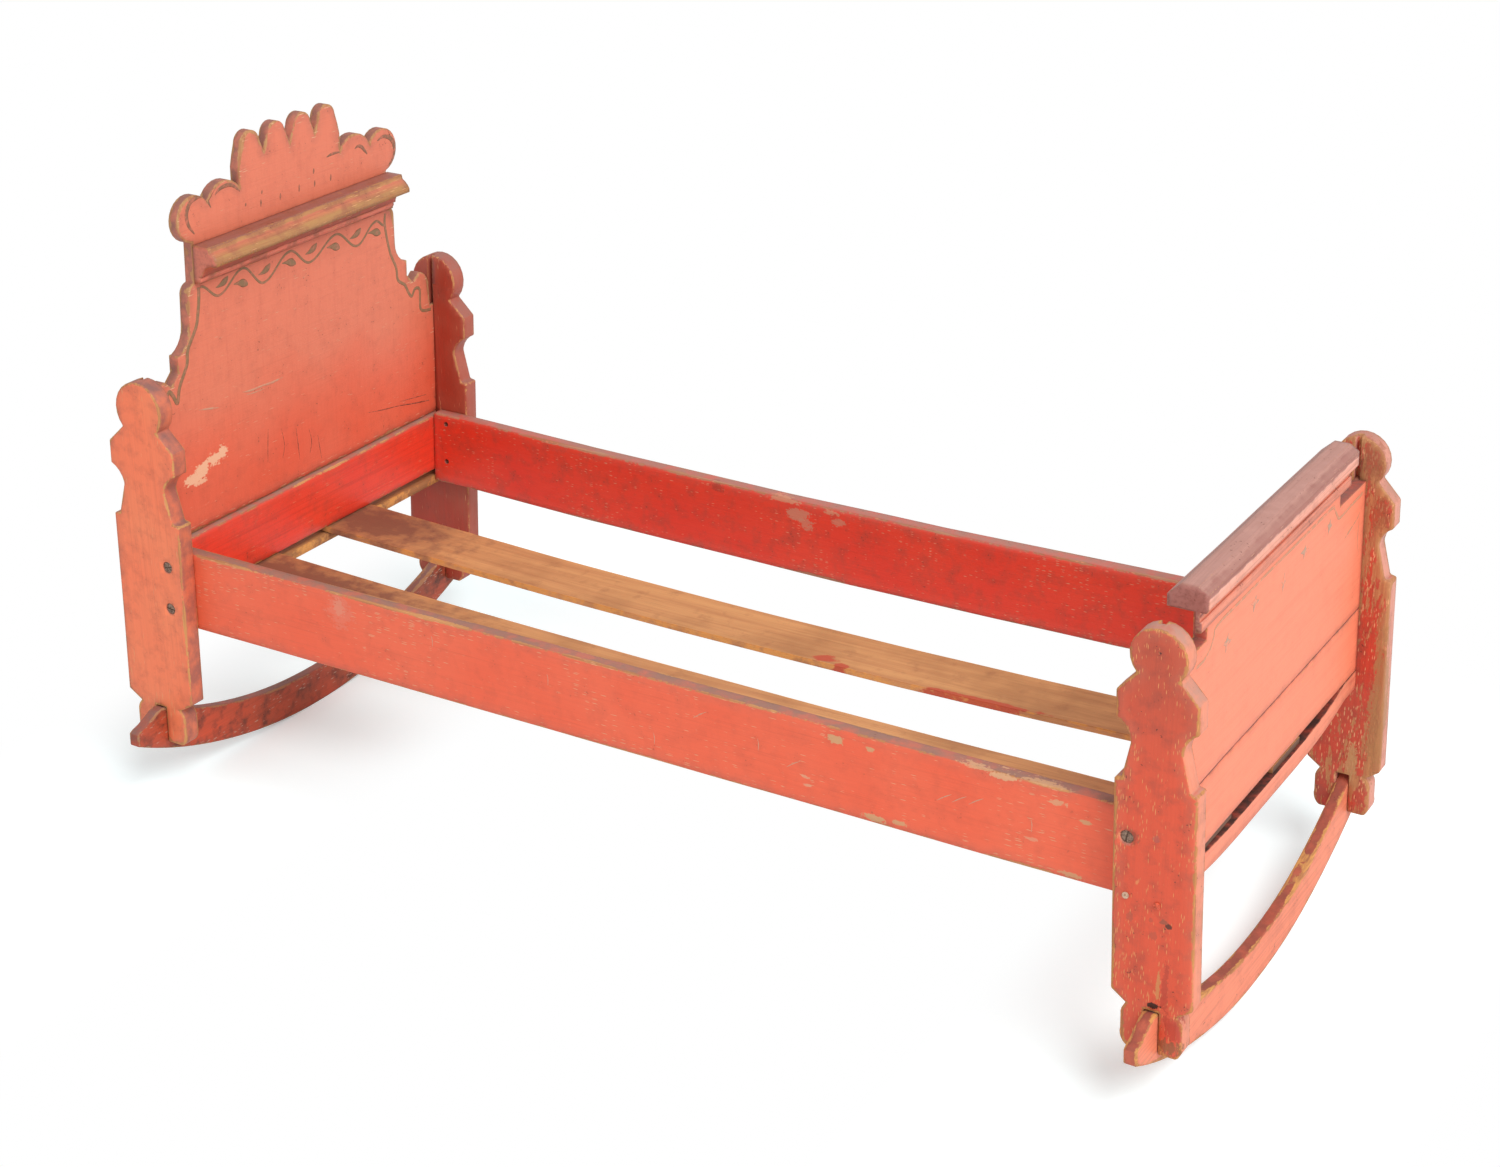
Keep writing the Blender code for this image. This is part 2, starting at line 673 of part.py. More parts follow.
def make_nail_hole(name, place, side, length):
    """The tool for a nail's hole."""
    radius = NAIL_SHANK_RADIUS + SEAT_GAP
    bottom = -length - SEAT_GAP
    tool = turned(name, [(0, bottom), (radius, bottom), (radius, CUT_OVERRUN), (0, CUT_OVERRUN)], None)
    drive(tool, place, side)
    return tool


def fasten(pieces, name, place, side, kind, length, material):
    """Drives one screw or nail and cuts its hole in each piece that it goes through."""
    make, make_hole = (make_screw, make_screw_hole) if kind == "screw" else (make_nail, make_nail_hole)
    make(name, place, side, length, material)
    hole = make_hole(name + "_hole", place, side, length)
    for piece in pieces:
        cut(piece, hole)


def lean_ends(pieces):
    """Leans both ends inwards about the rails' underside, and all between them in proportion."""
    reach = Vector((BED_LENGTH / 2 + CAGE_MARGIN, BED_WIDTH / 2 + ROCKER_OVERHANG + CAGE_MARGIN, CAGE_HALF_HEIGHT))
    cage = bpy.data.lattices.new("lean")
    cage.points_u, cage.points_v, cage.points_w = 2, 2, 2
    cage.interpolation_type_u = "KEY_LINEAR"
    cage.interpolation_type_v = "KEY_LINEAR"
    cage.interpolation_type_w = "KEY_LINEAR"
    for point in cage.points:
        across = 2 * point.co.x * reach.x / (BED_LENGTH / 2)
        up = 2 * point.co.z * reach.z
        point.co_deform.x = point.co.x - END_LEAN_SHARE * across * up / (2 * reach.x)
    frame = bpy.data.objects.new("lean", cage)
    frame.scale = 2 * reach
    frame.location = (0, 0, RAIL_BOTTOM)
    frame.hide_render = True
    bpy.context.scene.collection.objects.link(frame)
    for piece in pieces:
        leaning = piece.modifiers.new("Lean", "LATTICE")
        leaning.object = frame


def build():
    """Makes the whole bed."""
    clear_scene()
    paint = finish("worn_red_paint", (0.62, 0.13, 0.07), 0.55, 0.0)
    deep_paint = finish("deep_red_paint", (0.52, 0.06, 0.03), 0.45, 0.0)
    bare = finish("bare_pine", (0.42, 0.21, 0.09), 0.65, 0.0)
    iron = finish("rusted_iron", (0.08, 0.055, 0.045), 0.6, 0.8)

    make_headboard(paint)
    make_crown(paint)
    head_board_top = HEAD_BOARD_BOTTOM + HEAD_BOARD_HEIGHT
    end_board("headboard_lower_board", -1, BOARD_INSIDE, HEAD_BOARD_BOTTOM, head_board_top, deep_paint)
    end_board("head_slat_bearer", -1, BOARD_INSIDE, HEAD_BEARER_BOTTOM, HEAD_BEARER_TOP, bare)
    make_footboard(paint)
    make_cap(paint)
    foot_board_top = FOOT_BOARD_BOTTOM + FOOT_BOARD_HEIGHT
    end_board("footboard_lower_board", 1, BOARD_INSIDE, FOOT_BOARD_BOTTOM, foot_board_top, paint)
    bearer = make_foot_bearer(paint)
    make_rocker("head_rocker", -1, paint)
    make_rocker("foot_rocker", 1, paint)
    for name, edges in SLAT_EDGE_SHARES.items():
        make_slat(name, edges, bare)

    through_rail = POST_THICKNESS + 2 * SEAT_GAP + RAIL_THICKNESS
    into_rail = POST_THICKNESS + NAIL_BITE * RAIL_THICKNESS / (NAIL_BITE + RAIL_THICKNESS)
    into_bearer = POST_THICKNESS + NAIL_BITE
    bearer_end = FOOT_BOARD_BOTTOM - SEAT_GAP - FOOT_BEARER_HEIGHT * (1 - BEARER_NAIL_HEIGHT_SHARE)
    bearer_across = BOARD_OUTSIDE - BEARER_NAIL_ACROSS_SHARE * END_BOARD_THICKNESS
    for label, side in (("near", -1), ("far", 1)):
        face = side * HALF_WIDTH
        rail = make_rail("side_rail_" + label, side, paint if side < 0 else deep_paint)
        head_post = make_post("head_post_" + label, -1, side, paint)
        foot_post = make_post("foot_post_" + label, 1, side, paint)
        for level, share in HEAD_SCREW_HEIGHT_SHARES.items():
            place = (overlap_middle(-1), face, RAIL_BOTTOM + share * RAIL_HEIGHT)
            name = f"head_screw_{label}_{level}"
            fasten((head_post, rail), name, place, side, "screw", through_rail, iron)
        place = (overlap_middle(1), face, RAIL_BOTTOM + FOOT_SCREW_HEIGHT_SHARE * RAIL_HEIGHT)
        fasten((foot_post, rail), "foot_screw_" + label, place, side, "screw", through_rail, iron)
        place = (overlap_middle(1), face, RAIL_BOTTOM + FOOT_NAIL_HEIGHT_SHARE * RAIL_HEIGHT)
        fasten((foot_post, rail), "foot_rail_nail_" + label, place, side, "nail", into_rail, iron)
        place = (bearer_across, face, bearer_end)
        fasten((foot_post, bearer), "foot_bearer_nail_" + label, place, side, "nail", into_bearer, iron)
    lean_ends([thing for thing in bpy.data.objects if thing.type == "MESH" and not thing.hide_render])


build()
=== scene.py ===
# %% [markdown]
# # A red doll bed on rockers
# The bed stood in a farmhouse about 150 years ago. It is pine, sawn and whittled by hand, brushed
# with red oil paint, and worn since by small hands. This lesson takes its bare model, which is
# exact but as clean as a drawing, and gives each board the paint, grain, wear and dirt that the
# eye reads as old wood. The first cell loads the model, and all that follows hangs on it.

# %% Load the bare bed
import math

import bmesh
import bpy
from mathutils import Matrix, Vector, kdtree, noise
from mathutils.bvhtree import BVHTree


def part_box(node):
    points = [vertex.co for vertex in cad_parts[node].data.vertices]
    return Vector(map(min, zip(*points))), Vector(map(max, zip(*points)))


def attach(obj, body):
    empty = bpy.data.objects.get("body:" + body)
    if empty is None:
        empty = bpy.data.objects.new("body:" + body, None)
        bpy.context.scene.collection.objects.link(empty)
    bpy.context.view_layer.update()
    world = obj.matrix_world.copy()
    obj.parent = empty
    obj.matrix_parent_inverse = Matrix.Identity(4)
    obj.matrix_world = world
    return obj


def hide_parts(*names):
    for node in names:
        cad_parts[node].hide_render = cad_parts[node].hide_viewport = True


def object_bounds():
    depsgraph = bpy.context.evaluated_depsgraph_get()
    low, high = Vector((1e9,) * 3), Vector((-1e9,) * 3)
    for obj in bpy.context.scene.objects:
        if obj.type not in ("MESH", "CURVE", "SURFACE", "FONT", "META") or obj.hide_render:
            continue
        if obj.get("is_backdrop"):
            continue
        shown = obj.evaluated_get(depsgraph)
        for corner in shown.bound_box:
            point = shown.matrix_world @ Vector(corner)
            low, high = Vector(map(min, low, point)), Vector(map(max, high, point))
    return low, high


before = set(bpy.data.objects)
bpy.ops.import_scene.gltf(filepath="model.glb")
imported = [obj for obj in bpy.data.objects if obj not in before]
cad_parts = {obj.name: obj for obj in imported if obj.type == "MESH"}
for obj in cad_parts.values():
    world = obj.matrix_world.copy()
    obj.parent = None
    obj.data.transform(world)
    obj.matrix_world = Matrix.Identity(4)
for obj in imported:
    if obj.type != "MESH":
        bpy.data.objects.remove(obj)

bare_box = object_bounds()
print("the bare bed:", len(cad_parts), "pieces, box", bare_box)

# %% [markdown]
# ## The camera
# The photographer stood at the bed's foot, to the left of its corner, and looked down on it by 25
# degrees from 1.6 m away. A camera can be turned with angles or with three directions: right, up
# and back. Directions are used here, because they come straight from the lines of the boards in
# the photograph, and because the small roll of the picture is then one more turn.

# %% Set the camera
PICTURE_WIDTH, PICTURE_HEIGHT = 1500, 1167
FOCAL_PIXELS = 2581.8
SENSOR_WIDTH = 36
CAMERA_PLACE = Vector((0.7202, -1.1732, 0.7901))
TURN, TILT, ROLL = math.radians(31.19), math.radians(24.609), math.radians(-0.4325)

level = Vector((math.cos(TURN), math.sin(TURN), 0))
back = Vector((math.sin(TURN) * math.cos(TILT), -math.cos(TURN) * math.cos(TILT), math.sin(TILT)))
rise = back.cross(level)
right = math.cos(ROLL) * level + math.sin(ROLL) * rise
upward = math.cos(ROLL) * rise - math.sin(ROLL) * level

view = bpy.data.cameras.new("photographer")
view.sensor_width = SENSOR_WIDTH
view.lens = FOCAL_PIXELS / PICTURE_WIDTH * SENSOR_WIDTH
camera = bpy.data.objects.new("photographer", view)
camera_turn = Matrix((right, upward, back)).transposed()
camera.matrix_world = Matrix.Translation(CAMERA_PLACE) @ camera_turn.to_4x4()
bpy.context.scene.collection.objects.link(camera)
bpy.context.scene.camera = camera
print("lens", round(view.lens, 1), "mm, picture", PICTURE_WIDTH, "by", PICTURE_HEIGHT)

# %% [markdown]
# ## Two helpers for every material
# Colours are read off a screen as hex values, which are stored for the eye (sRGB). Blender mixes
# light in linear values, so one function turns the first into the second. The other one adds a
# node, fills its sockets with numbers or with other nodes' outputs, and gives the node back. With
# these two, a long chain of nodes stays as easy to read as a sum.

# %% Hex colours and nodes
def hex_colour(text):
    parts = [int(text[i:i + 2], 16) / 255 for i in (1, 3, 5)]
    return [c / 12.92 if c <= 0.04045 else ((c + 0.055) / 1.055) ** 2.4 for c in parts] + [1.0]


def add(tree, kind, sockets=None, **settings):
    node = tree.nodes.new(kind)
    for name, value in settings.items():
        setattr(node, name, value)
    for key, value in (sockets or {}).items():
        if isinstance(value, bpy.types.Node):
            value = value.outputs[0]
        if isinstance(value, bpy.types.NodeSocket):
            tree.links.new(value, node.inputs[key])
        else:
            node.inputs[key].default_value = value
    return node


print("paint red as light:", [round(c, 3) for c in hex_colour("#E8654A")[:3]])

# %% [markdown]
# ## Light
# The bed was photographed in a studio, with one large soft lamp over its foot and white all round.
# A sun would draw hard shadows, and a picture of a studio would need a file. A large area lamp
# and an even white world give the same: the footboard is the brightest, the near rail is a little
# darker, and the shadows under the rockers are soft. The camera sees the world as pure white,
# and so do shiny things, but it lights the bed only with the strength that keeps colours as written.

# %% Lamp and world
WHITE = (1, 1, 1, 1)
WORLD_LIGHT = 0.66
LAMP_PLACE = Vector((3.0, -1.7, 3.9))
LAMP_AIM = Vector((0, 0, 0.15))
LAMP_WIDTH = 2.9
LAMP_WATTS = 185

lamp_data = bpy.data.lights.new("soft_lamp", "AREA")
lamp_data.shape = "DISK"
lamp_data.size = LAMP_WIDTH
lamp_data.energy = LAMP_WATTS
lamp = bpy.data.objects.new("soft_lamp", lamp_data)
lamp_turn = (LAMP_PLACE - LAMP_AIM).to_track_quat("Z", "Y").to_matrix()
lamp.matrix_world = Matrix.Translation(LAMP_PLACE) @ lamp_turn.to_4x4()
bpy.context.scene.collection.objects.link(lamp)

world = bpy.data.worlds.new("white_studio")
bpy.context.scene.world = world
world.use_nodes = True
sky = world.node_tree
sky.nodes.clear()
rays = add(sky, "ShaderNodeLightPath")
seen = add(sky, "ShaderNodeMath", {0: rays.outputs["Is Camera Ray"], 1: rays.outputs["Is Glossy Ray"]},
           operation="MAXIMUM")
seen = add(sky, "ShaderNodeMath", {0: seen, 1: rays.outputs["Is Transmission Ray"]}, operation="MAXIMUM")
strength = add(sky, "ShaderNodeMapRange", {0: seen, 3: WORLD_LIGHT, 4: 1.0})
glow = add(sky, "ShaderNodeBackground", {"Color": WHITE, "Strength": strength})
add(sky, "ShaderNodeOutputWorld", {"Surface": glow})
bpy.context.scene.view_settings.view_transform = "Standard"
print("lamp", LAMP_WATTS, "W, world", WORLD_LIGHT)

# %% [markdown]
# ## The floor
# The sheet of paper under the bed is so white that only the soft shadows at the two rockers show
# on it. A white diffuse floor draws these shadows, but it would also turn grey between them, and
# where the lamp is weak. So the camera sees the lit floor, with a little added white, only near
# the two lines on which the rockers stand, and plain white beyond. The bed itself is still lit by
# the whole floor, which is why its undersides aren't black.

# %% White paper under the bed
PAPER_REACH = 9
ROCKER_LINE = 0.333
SHADOW_NEAR, SHADOW_FAR = 0.03, 0.13
SIDE_NEAR, SIDE_FAR = 0.22, 0.42
PAPER_LIFT = 0.26
PAPER_LIT, PAPER_SEEN = "#F2F2F2", "#E6F3F4"


def empty_material(name):
    material = bpy.data.materials.new(name)
    material.use_nodes = True
    material.node_tree.nodes.clear()
    return material, material.node_tree


paper, tree = empty_material("studio_paper")
place = add(tree, "ShaderNodeTexCoord").outputs["Object"]
place = add(tree, "ShaderNodeSeparateXYZ", {0: place})
along = add(tree, "ShaderNodeMath", {0: place.outputs[0]}, operation="ABSOLUTE")
along = add(tree, "ShaderNodeMath", {0: along, 1: ROCKER_LINE}, operation="SUBTRACT")
along = add(tree, "ShaderNodeMath", {0: along}, operation="ABSOLUTE")
along = add(tree, "ShaderNodeMapRange", {0: along, 1: SHADOW_NEAR, 2: SHADOW_FAR},
            interpolation_type="SMOOTHSTEP")
aside = add(tree, "ShaderNodeMath", {0: place.outputs[1]}, operation="ABSOLUTE")
aside = add(tree, "ShaderNodeMapRange", {0: aside, 1: SIDE_NEAR, 2: SIDE_FAR},
            interpolation_type="SMOOTHSTEP")
far = add(tree, "ShaderNodeMath", {0: along, 1: aside}, operation="MAXIMUM")
rays = add(tree, "ShaderNodeLightPath")
lit = add(tree, "ShaderNodeBsdfDiffuse", {"Color": hex_colour(PAPER_LIT)})
seen = add(tree, "ShaderNodeBsdfDiffuse", {"Color": hex_colour(PAPER_SEEN)})
lift = add(tree, "ShaderNodeEmission", {"Color": WHITE, "Strength": PAPER_LIFT})
white = add(tree, "ShaderNodeEmission", {"Color": WHITE, "Strength": 1.0})
lifted = add(tree, "ShaderNodeAddShader", {0: seen, 1: lift})
shown = add(tree, "ShaderNodeMixShader", {0: far, 1: lifted, 2: white})
either = add(tree, "ShaderNodeMixShader", {0: rays.outputs["Is Camera Ray"], 1: lit, 2: shown})
add(tree, "ShaderNodeOutputMaterial", {"Surface": either})

sheet = bmesh.new()
bmesh.ops.create_grid(sheet, x_segments=1, y_segments=1, size=PAPER_REACH)
floor_mesh = bpy.data.meshes.new("studio_floor")
sheet.to_mesh(floor_mesh)
sheet.free()
floor_mesh.materials.append(paper)
floor = bpy.data.objects.new("studio_floor", floor_mesh)
bpy.context.scene.collection.objects.link(floor)
floor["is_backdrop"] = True
print("floor", 2 * PAPER_REACH, "m wide")

# %% [markdown]
# ## Hand-cut boards
# A sawn board isn't a perfect box: its edges are rounded by wear, and its faces wander by a
# fraction of a millimetre. Sculpting each board would be slow, so each one is a copy of its bare
# piece that a function works over. It rounds the outer edges, cuts the faces into small cells,
# and moves all corners by one smooth field, the same for every board, so that joints stay closed.
# It also writes down two distances for each corner: how far the nearest worn edge is, and how far
# the nearest other piece. The paint reads them later, to know where to wear off, and where to lay
# dirt and painted contact shade.

# %% What the saw and the years did
WANDER = 0.00030
WANDER_LENGTH = 0.070
WANDER_SEED = 7  # without a seed the field starts from the clock, and differs in every run
noise.seed_set(WANDER_SEED)
SHARP, FLAT = math.radians(32), math.radians(1)
SAME_POINT, SAME_PLANE = 1e-6, 1e-5
HOLE_RIM = 0.0045


def wander(point):
    return noise.noise_vector(point / WANDER_LENGTH) * WANDER


def clean_copy(node):
    shape = bmesh.new()
    shape.from_mesh(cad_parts[node].data)
    bmesh.ops.remove_doubles(shape, verts=shape.verts, dist=SAME_POINT)
    bmesh.ops.dissolve_limit(shape, angle_limit=FLAT, verts=shape.verts, edges=shape.edges)
    return shape


iron_names = [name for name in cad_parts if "screw" in name or "nail" in name]
iron_places = [(Vector(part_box(name)[0]) + Vector(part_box(name)[1])) / 2 for name in iron_names]


def beside_iron(point):
    return any(math.hypot(point.x - at.x, point.z - at.z) < HOLE_RIM for at in iron_places)


def outer_edges(shape):
    sharp = [e for e in shape.edges
             if len(e.link_faces) == 2 and e.is_convex and e.calc_face_angle(0) > SHARP]
    return [e for e in sharp if not beside_iron((e.verts[0].co + e.verts[1].co) / 2)]


def surface_of(mesh):
    return BVHTree.FromPolygons([v.co for v in mesh.vertices], [p.vertices[:] for p in mesh.polygons])


surfaces = {name: surface_of(node.data) for name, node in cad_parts.items()}
print(len(surfaces), "surfaces to measure against")

# %% Distances that the paint will read
FAR_AWAY = 0.02
RIDGE_STEP = 0.001


def edge_points(edges):
    points = []
    for edge in edges:
        a, b = edge.verts[0].co, edge.verts[1].co
        count = max(1, round((b - a).length / RIDGE_STEP))
        points += [a.lerp(b, i / count) for i in range(count + 1)]
    lookup = kdtree.KDTree(len(points))
    for i, point in enumerate(points):
        lookup.insert(point, i)
    lookup.balance()
    return lookup


def touch_distance(point, own_node):
    nearest = FAR_AWAY
    for name, surface in surfaces.items():
        if name == own_node or name in iron_names:
            continue
        found = surface.find_nearest(point, nearest)
        if found[3] is not None:
            nearest = min(nearest, found[3])
    return nearest


print("distances beyond", FAR_AWAY, "m aren't measured")

# %% Work one board over
def hand_cut(node, material, shape=None, rounding=0.0005, cell=0.004):
    shape = shape or clean_copy(node)
    worn = outer_edges(shape)
    ridge = edge_points(worn)
    bmesh.ops.bevel(shape, geom=worn, offset=rounding, segments=2, affect="EDGES", clamp_overlap=True)
    low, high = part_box(node)
    for axis in range(3):
        count = max(1, round((high[axis] - low[axis]) / cell))
        across = Vector([1.0 if k == axis else 0.0 for k in range(3)])
        for i in range(1, count):
            on = (low[axis] + (high[axis] - low[axis]) * i / count) * across
            everything = shape.verts[:] + shape.edges[:] + shape.faces[:]
            bmesh.ops.bisect_plane(shape, geom=everything, plane_co=on, plane_no=across, dist=SAME_PLANE)
    bmesh.ops.triangulate(shape, faces=[f for f in shape.faces if len(f.verts) > 4])
    gaps = [ridge.find(v.co)[2] for v in shape.verts]
    touches = [touch_distance(v.co, node) for v in shape.verts]
    for vert in shape.verts:
        vert.co += wander(vert.co)
    mesh = bpy.data.meshes.new(node + "_worked")
    shape.to_mesh(mesh)
    shape.free()
    for label, values in (("edge_gap", gaps), ("touch_gap", touches)):
        mesh.attributes.new(label, "FLOAT", "POINT").data.foreach_set("value", values)
    mesh.polygons.foreach_set("use_smooth", [True] * len(mesh.polygons))
    mesh.set_sharp_from_angle(angle=SHARP)
    mesh.materials.append(material)
    piece = bpy.data.objects.new("worked_" + node, mesh)
    bpy.context.scene.collection.objects.link(piece)
    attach(piece, "root")
    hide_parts(node)
    print(node, len(mesh.polygons), "faces")
    return piece


# %% [markdown]
# ## Red oil paint on pine
# The paint is red earth in linseed oil, brushed on thin. It hides the wood but not its fibres,
# so fine ridges show along the grain. Light has faded it towards salmon. Where a board was sawn
# across, at the scallops, the thirsty end grain drank the paint and holds mauve-brown grime. The
# paint wore through to ochre wood in a thin line along each edge, and in dashes along the grain,
# and grey-brown dust lies on every top. One long chain of nodes draws these layers in the order
# in which they came. The sizes are real ones: fibres under 1 mm, dashes of 4 to 9 mm, and worn
# lines of 0.3 to 1 mm, with patches up to 2 mm. A noise runs from about 0.3 to 0.7, so each coat
# starts at one such number and is full at another.

# %% Directions and sizes in the grain
ALONG = {"X": 0, "Y": 1, "Z": 2}


def stretched(along, fine, grain):
    """Pattern scale for features along mm long in the grain's direction and fine mm across it."""
    return [1000 / (along if axis == ALONG[grain] else fine) for axis in range(3)]


FIBRE, BRISTLE, CHIP = (60, 0.9), (90, 2.2), (16, 4)  # mm along the grain and across it
BROAD, MIDDLE, FINE = 16.0, 95.0, 620.0  # blotches per metre, of about 60, 10 and 1.6 mm
print("fibres, in cells per metre:", [round(s) for s in stretched(*FIBRE, "X")])

# %% One coat over another
def coat(tree, under, over, pattern, start, full, most=1.0):
    """Lay one colour over another: none of it where the pattern is at start, and most from full on."""
    share = add(tree, "ShaderNodeMapRange", {0: pattern, 1: start, 2: full, 3: 0.0, 4: most})
    under, over = [hex_colour(c) if isinstance(c, str) else c for c in (under, over)]
    return add(tree, "ShaderNodeMix", {0: share, 6: under, 7: over}, data_type="RGBA").outputs[2]


print("a coat over another takes one pattern and one colour")

# %% Marks at measured places
MARK_RAGGED, MARK_FRAYED, MARK_STARTS, MARK_FULL = 3.4, 1.6, 3.55, 3.35


def from_centre(tree, spot, centre, half):
    """How far a point lies from the middle of a mark, in half-widths. The sizes are in millimetres."""
    offset = add(tree, "ShaderNodeVectorMath", {0: spot, 1: [c / 1000 for c in centre]},
                 operation="SUBTRACT")
    offset = add(tree, "ShaderNodeVectorMath", {0: offset, 1: [h / 1000 for h in half]}, operation="DIVIDE")
    return add(tree, "ShaderNodeVectorMath", {0: offset}, operation="LENGTH").outputs["Value"]


print("a mark has a centre and three half-widths")

# %% Sizes of the wear, in metres
BAND_JITTER = 0.0028
LEAST_WEAR, WORN_LINE, WORN_PATCH, WORN_FRAY = 0.0001, 0.0009, 0.0012, 0.0016
BARE_STARTS, BARE_FULL = 0.00065, 0.00105
GRIPPED_RIM, FLAKED_RIM = 0.007, 0.009
JOINT_GRIME_AND_SHADE_REACH, JOINT_STARTS, JOINT_FULL = 0.0013, -0.0006, 0.0014
FIBRE_RELIEF = 0.0004
OIL_AND_WOOD_IOR = 1.45
print("a worn edge is at most", round(1000 * (WORN_LINE + WORN_PATCH), 1), "mm wide before it frays")

# %% Colours that all the painted boards share
FIBRE_BROWN, WOOD_BROWN, BAND_BROWN = "#8E3A2A", "#A9704A", "#9A6A48"
# The joint colour darkens each surface within about a millimetre of another piece: dirt, and painted
# contact shade.
SPECK_DIRT, JOINT_GRIME_AND_SHADE = "#54291E", "#4A2419"
print("dirt in a joint is", [round(c, 3) for c in hex_colour(JOINT_GRIME_AND_SHADE)[:3]], "as light")

# %% Patterns that the layers share
def paint_patterns(tree, seed, grain, brush, flake_size):
    """Noises from fibres to broad blotches, the ragged shape of chips, and a cell for each flake."""
    spot = add(tree, "ShaderNodeTexCoord").outputs["Object"]
    shifted = add(tree, "ShaderNodeMapping",
                  {"Vector": spot, "Location": (seed * 1.7, seed * 0.9, seed * 2.3)})
    fibres = add(tree, "ShaderNodeMapping", {"Vector": shifted, "Scale": stretched(*FIBRE, grain)})
    fibre = add(tree, "ShaderNodeTexNoise",
                {"Vector": fibres, "Scale": 1.0, "Detail": 3.0, "Roughness": 0.65})
    strokes = add(tree, "ShaderNodeMapping", {"Vector": shifted, "Scale": stretched(*BRISTLE, brush)})
    strokes = add(tree, "ShaderNodeTexNoise",
                  {"Vector": strokes, "Scale": 1.0, "Detail": 3.0, "Roughness": 0.6})
    broad = add(tree, "ShaderNodeTexNoise", {"Vector": shifted, "Scale": BROAD, "Detail": 3.0})
    middle = add(tree, "ShaderNodeTexNoise", {"Vector": shifted, "Scale": MIDDLE, "Detail": 4.0,
                                              "Roughness": 0.6})
    fine = add(tree, "ShaderNodeTexNoise", {"Vector": shifted, "Scale": FINE, "Detail": 3.0})
    ragged = add(tree, "ShaderNodeMapping", {"Vector": shifted, "Scale": stretched(*CHIP, grain)})
    ragged = add(tree, "ShaderNodeTexNoise",
                 {"Vector": ragged, "Scale": 1.0, "Detail": 6.0, "Roughness": 0.72})
    dashes = add(tree, "ShaderNodeMapping", {"Vector": shifted, "Scale": stretched(*flake_size, grain)})
    dashes = add(tree, "ShaderNodeVectorMath", {0: middle.outputs["Color"], 1: (0.9, 0.9, 0.9), 2: dashes},
                 operation="MULTIPLY_ADD")
    cells = add(tree, "ShaderNodeTexVoronoi", {"Vector": dashes, "Scale": 1.0, "Randomness": 1.0})
    return spot, fibre, strokes, broad, middle, fine, ragged, cells


print("the broadest blotches are", round(1000 / BROAD), "mm")

# %% Bands of wear, painted shade and painted light on a moulded board
def in_bands(tree, colour, bands, mottle, end_face, height, middle):
    """Colour a board by height, a little unevenly. Its sawn ends keep the colour they had."""
    low, high = bands[0][0], bands[-1][0]
    jitter = add(tree, "ShaderNodeMath", {0: middle, 1: BAND_JITTER, 2: height}, operation="MULTIPLY_ADD")
    level = add(tree, "ShaderNodeMapRange",
                {0: jitter, 1: low + BAND_JITTER / 2, 2: high + BAND_JITTER / 2})
    ramp = add(tree, "ShaderNodeValToRGB", {"Fac": level})
    for i, (at, shade) in enumerate(bands):
        stop = ramp.color_ramp.elements[i] if i < 2 else ramp.color_ramp.elements.new(1.0)
        stop.position = (at - low) / (high - low)
        stop.color = hex_colour(shade)
    banded = coat(tree, ramp.outputs["Color"], BAND_BROWN, middle, 0.45, 0.66, mottle)
    end_grain = add(tree, "ShaderNodeMath", {0: end_face}, operation="ABSOLUTE")
    return coat(tree, banded, colour, end_grain, 0.5, 0.8)


print("bands wander by", round(1000 * BAND_JITTER / 2, 1), "mm up and down")

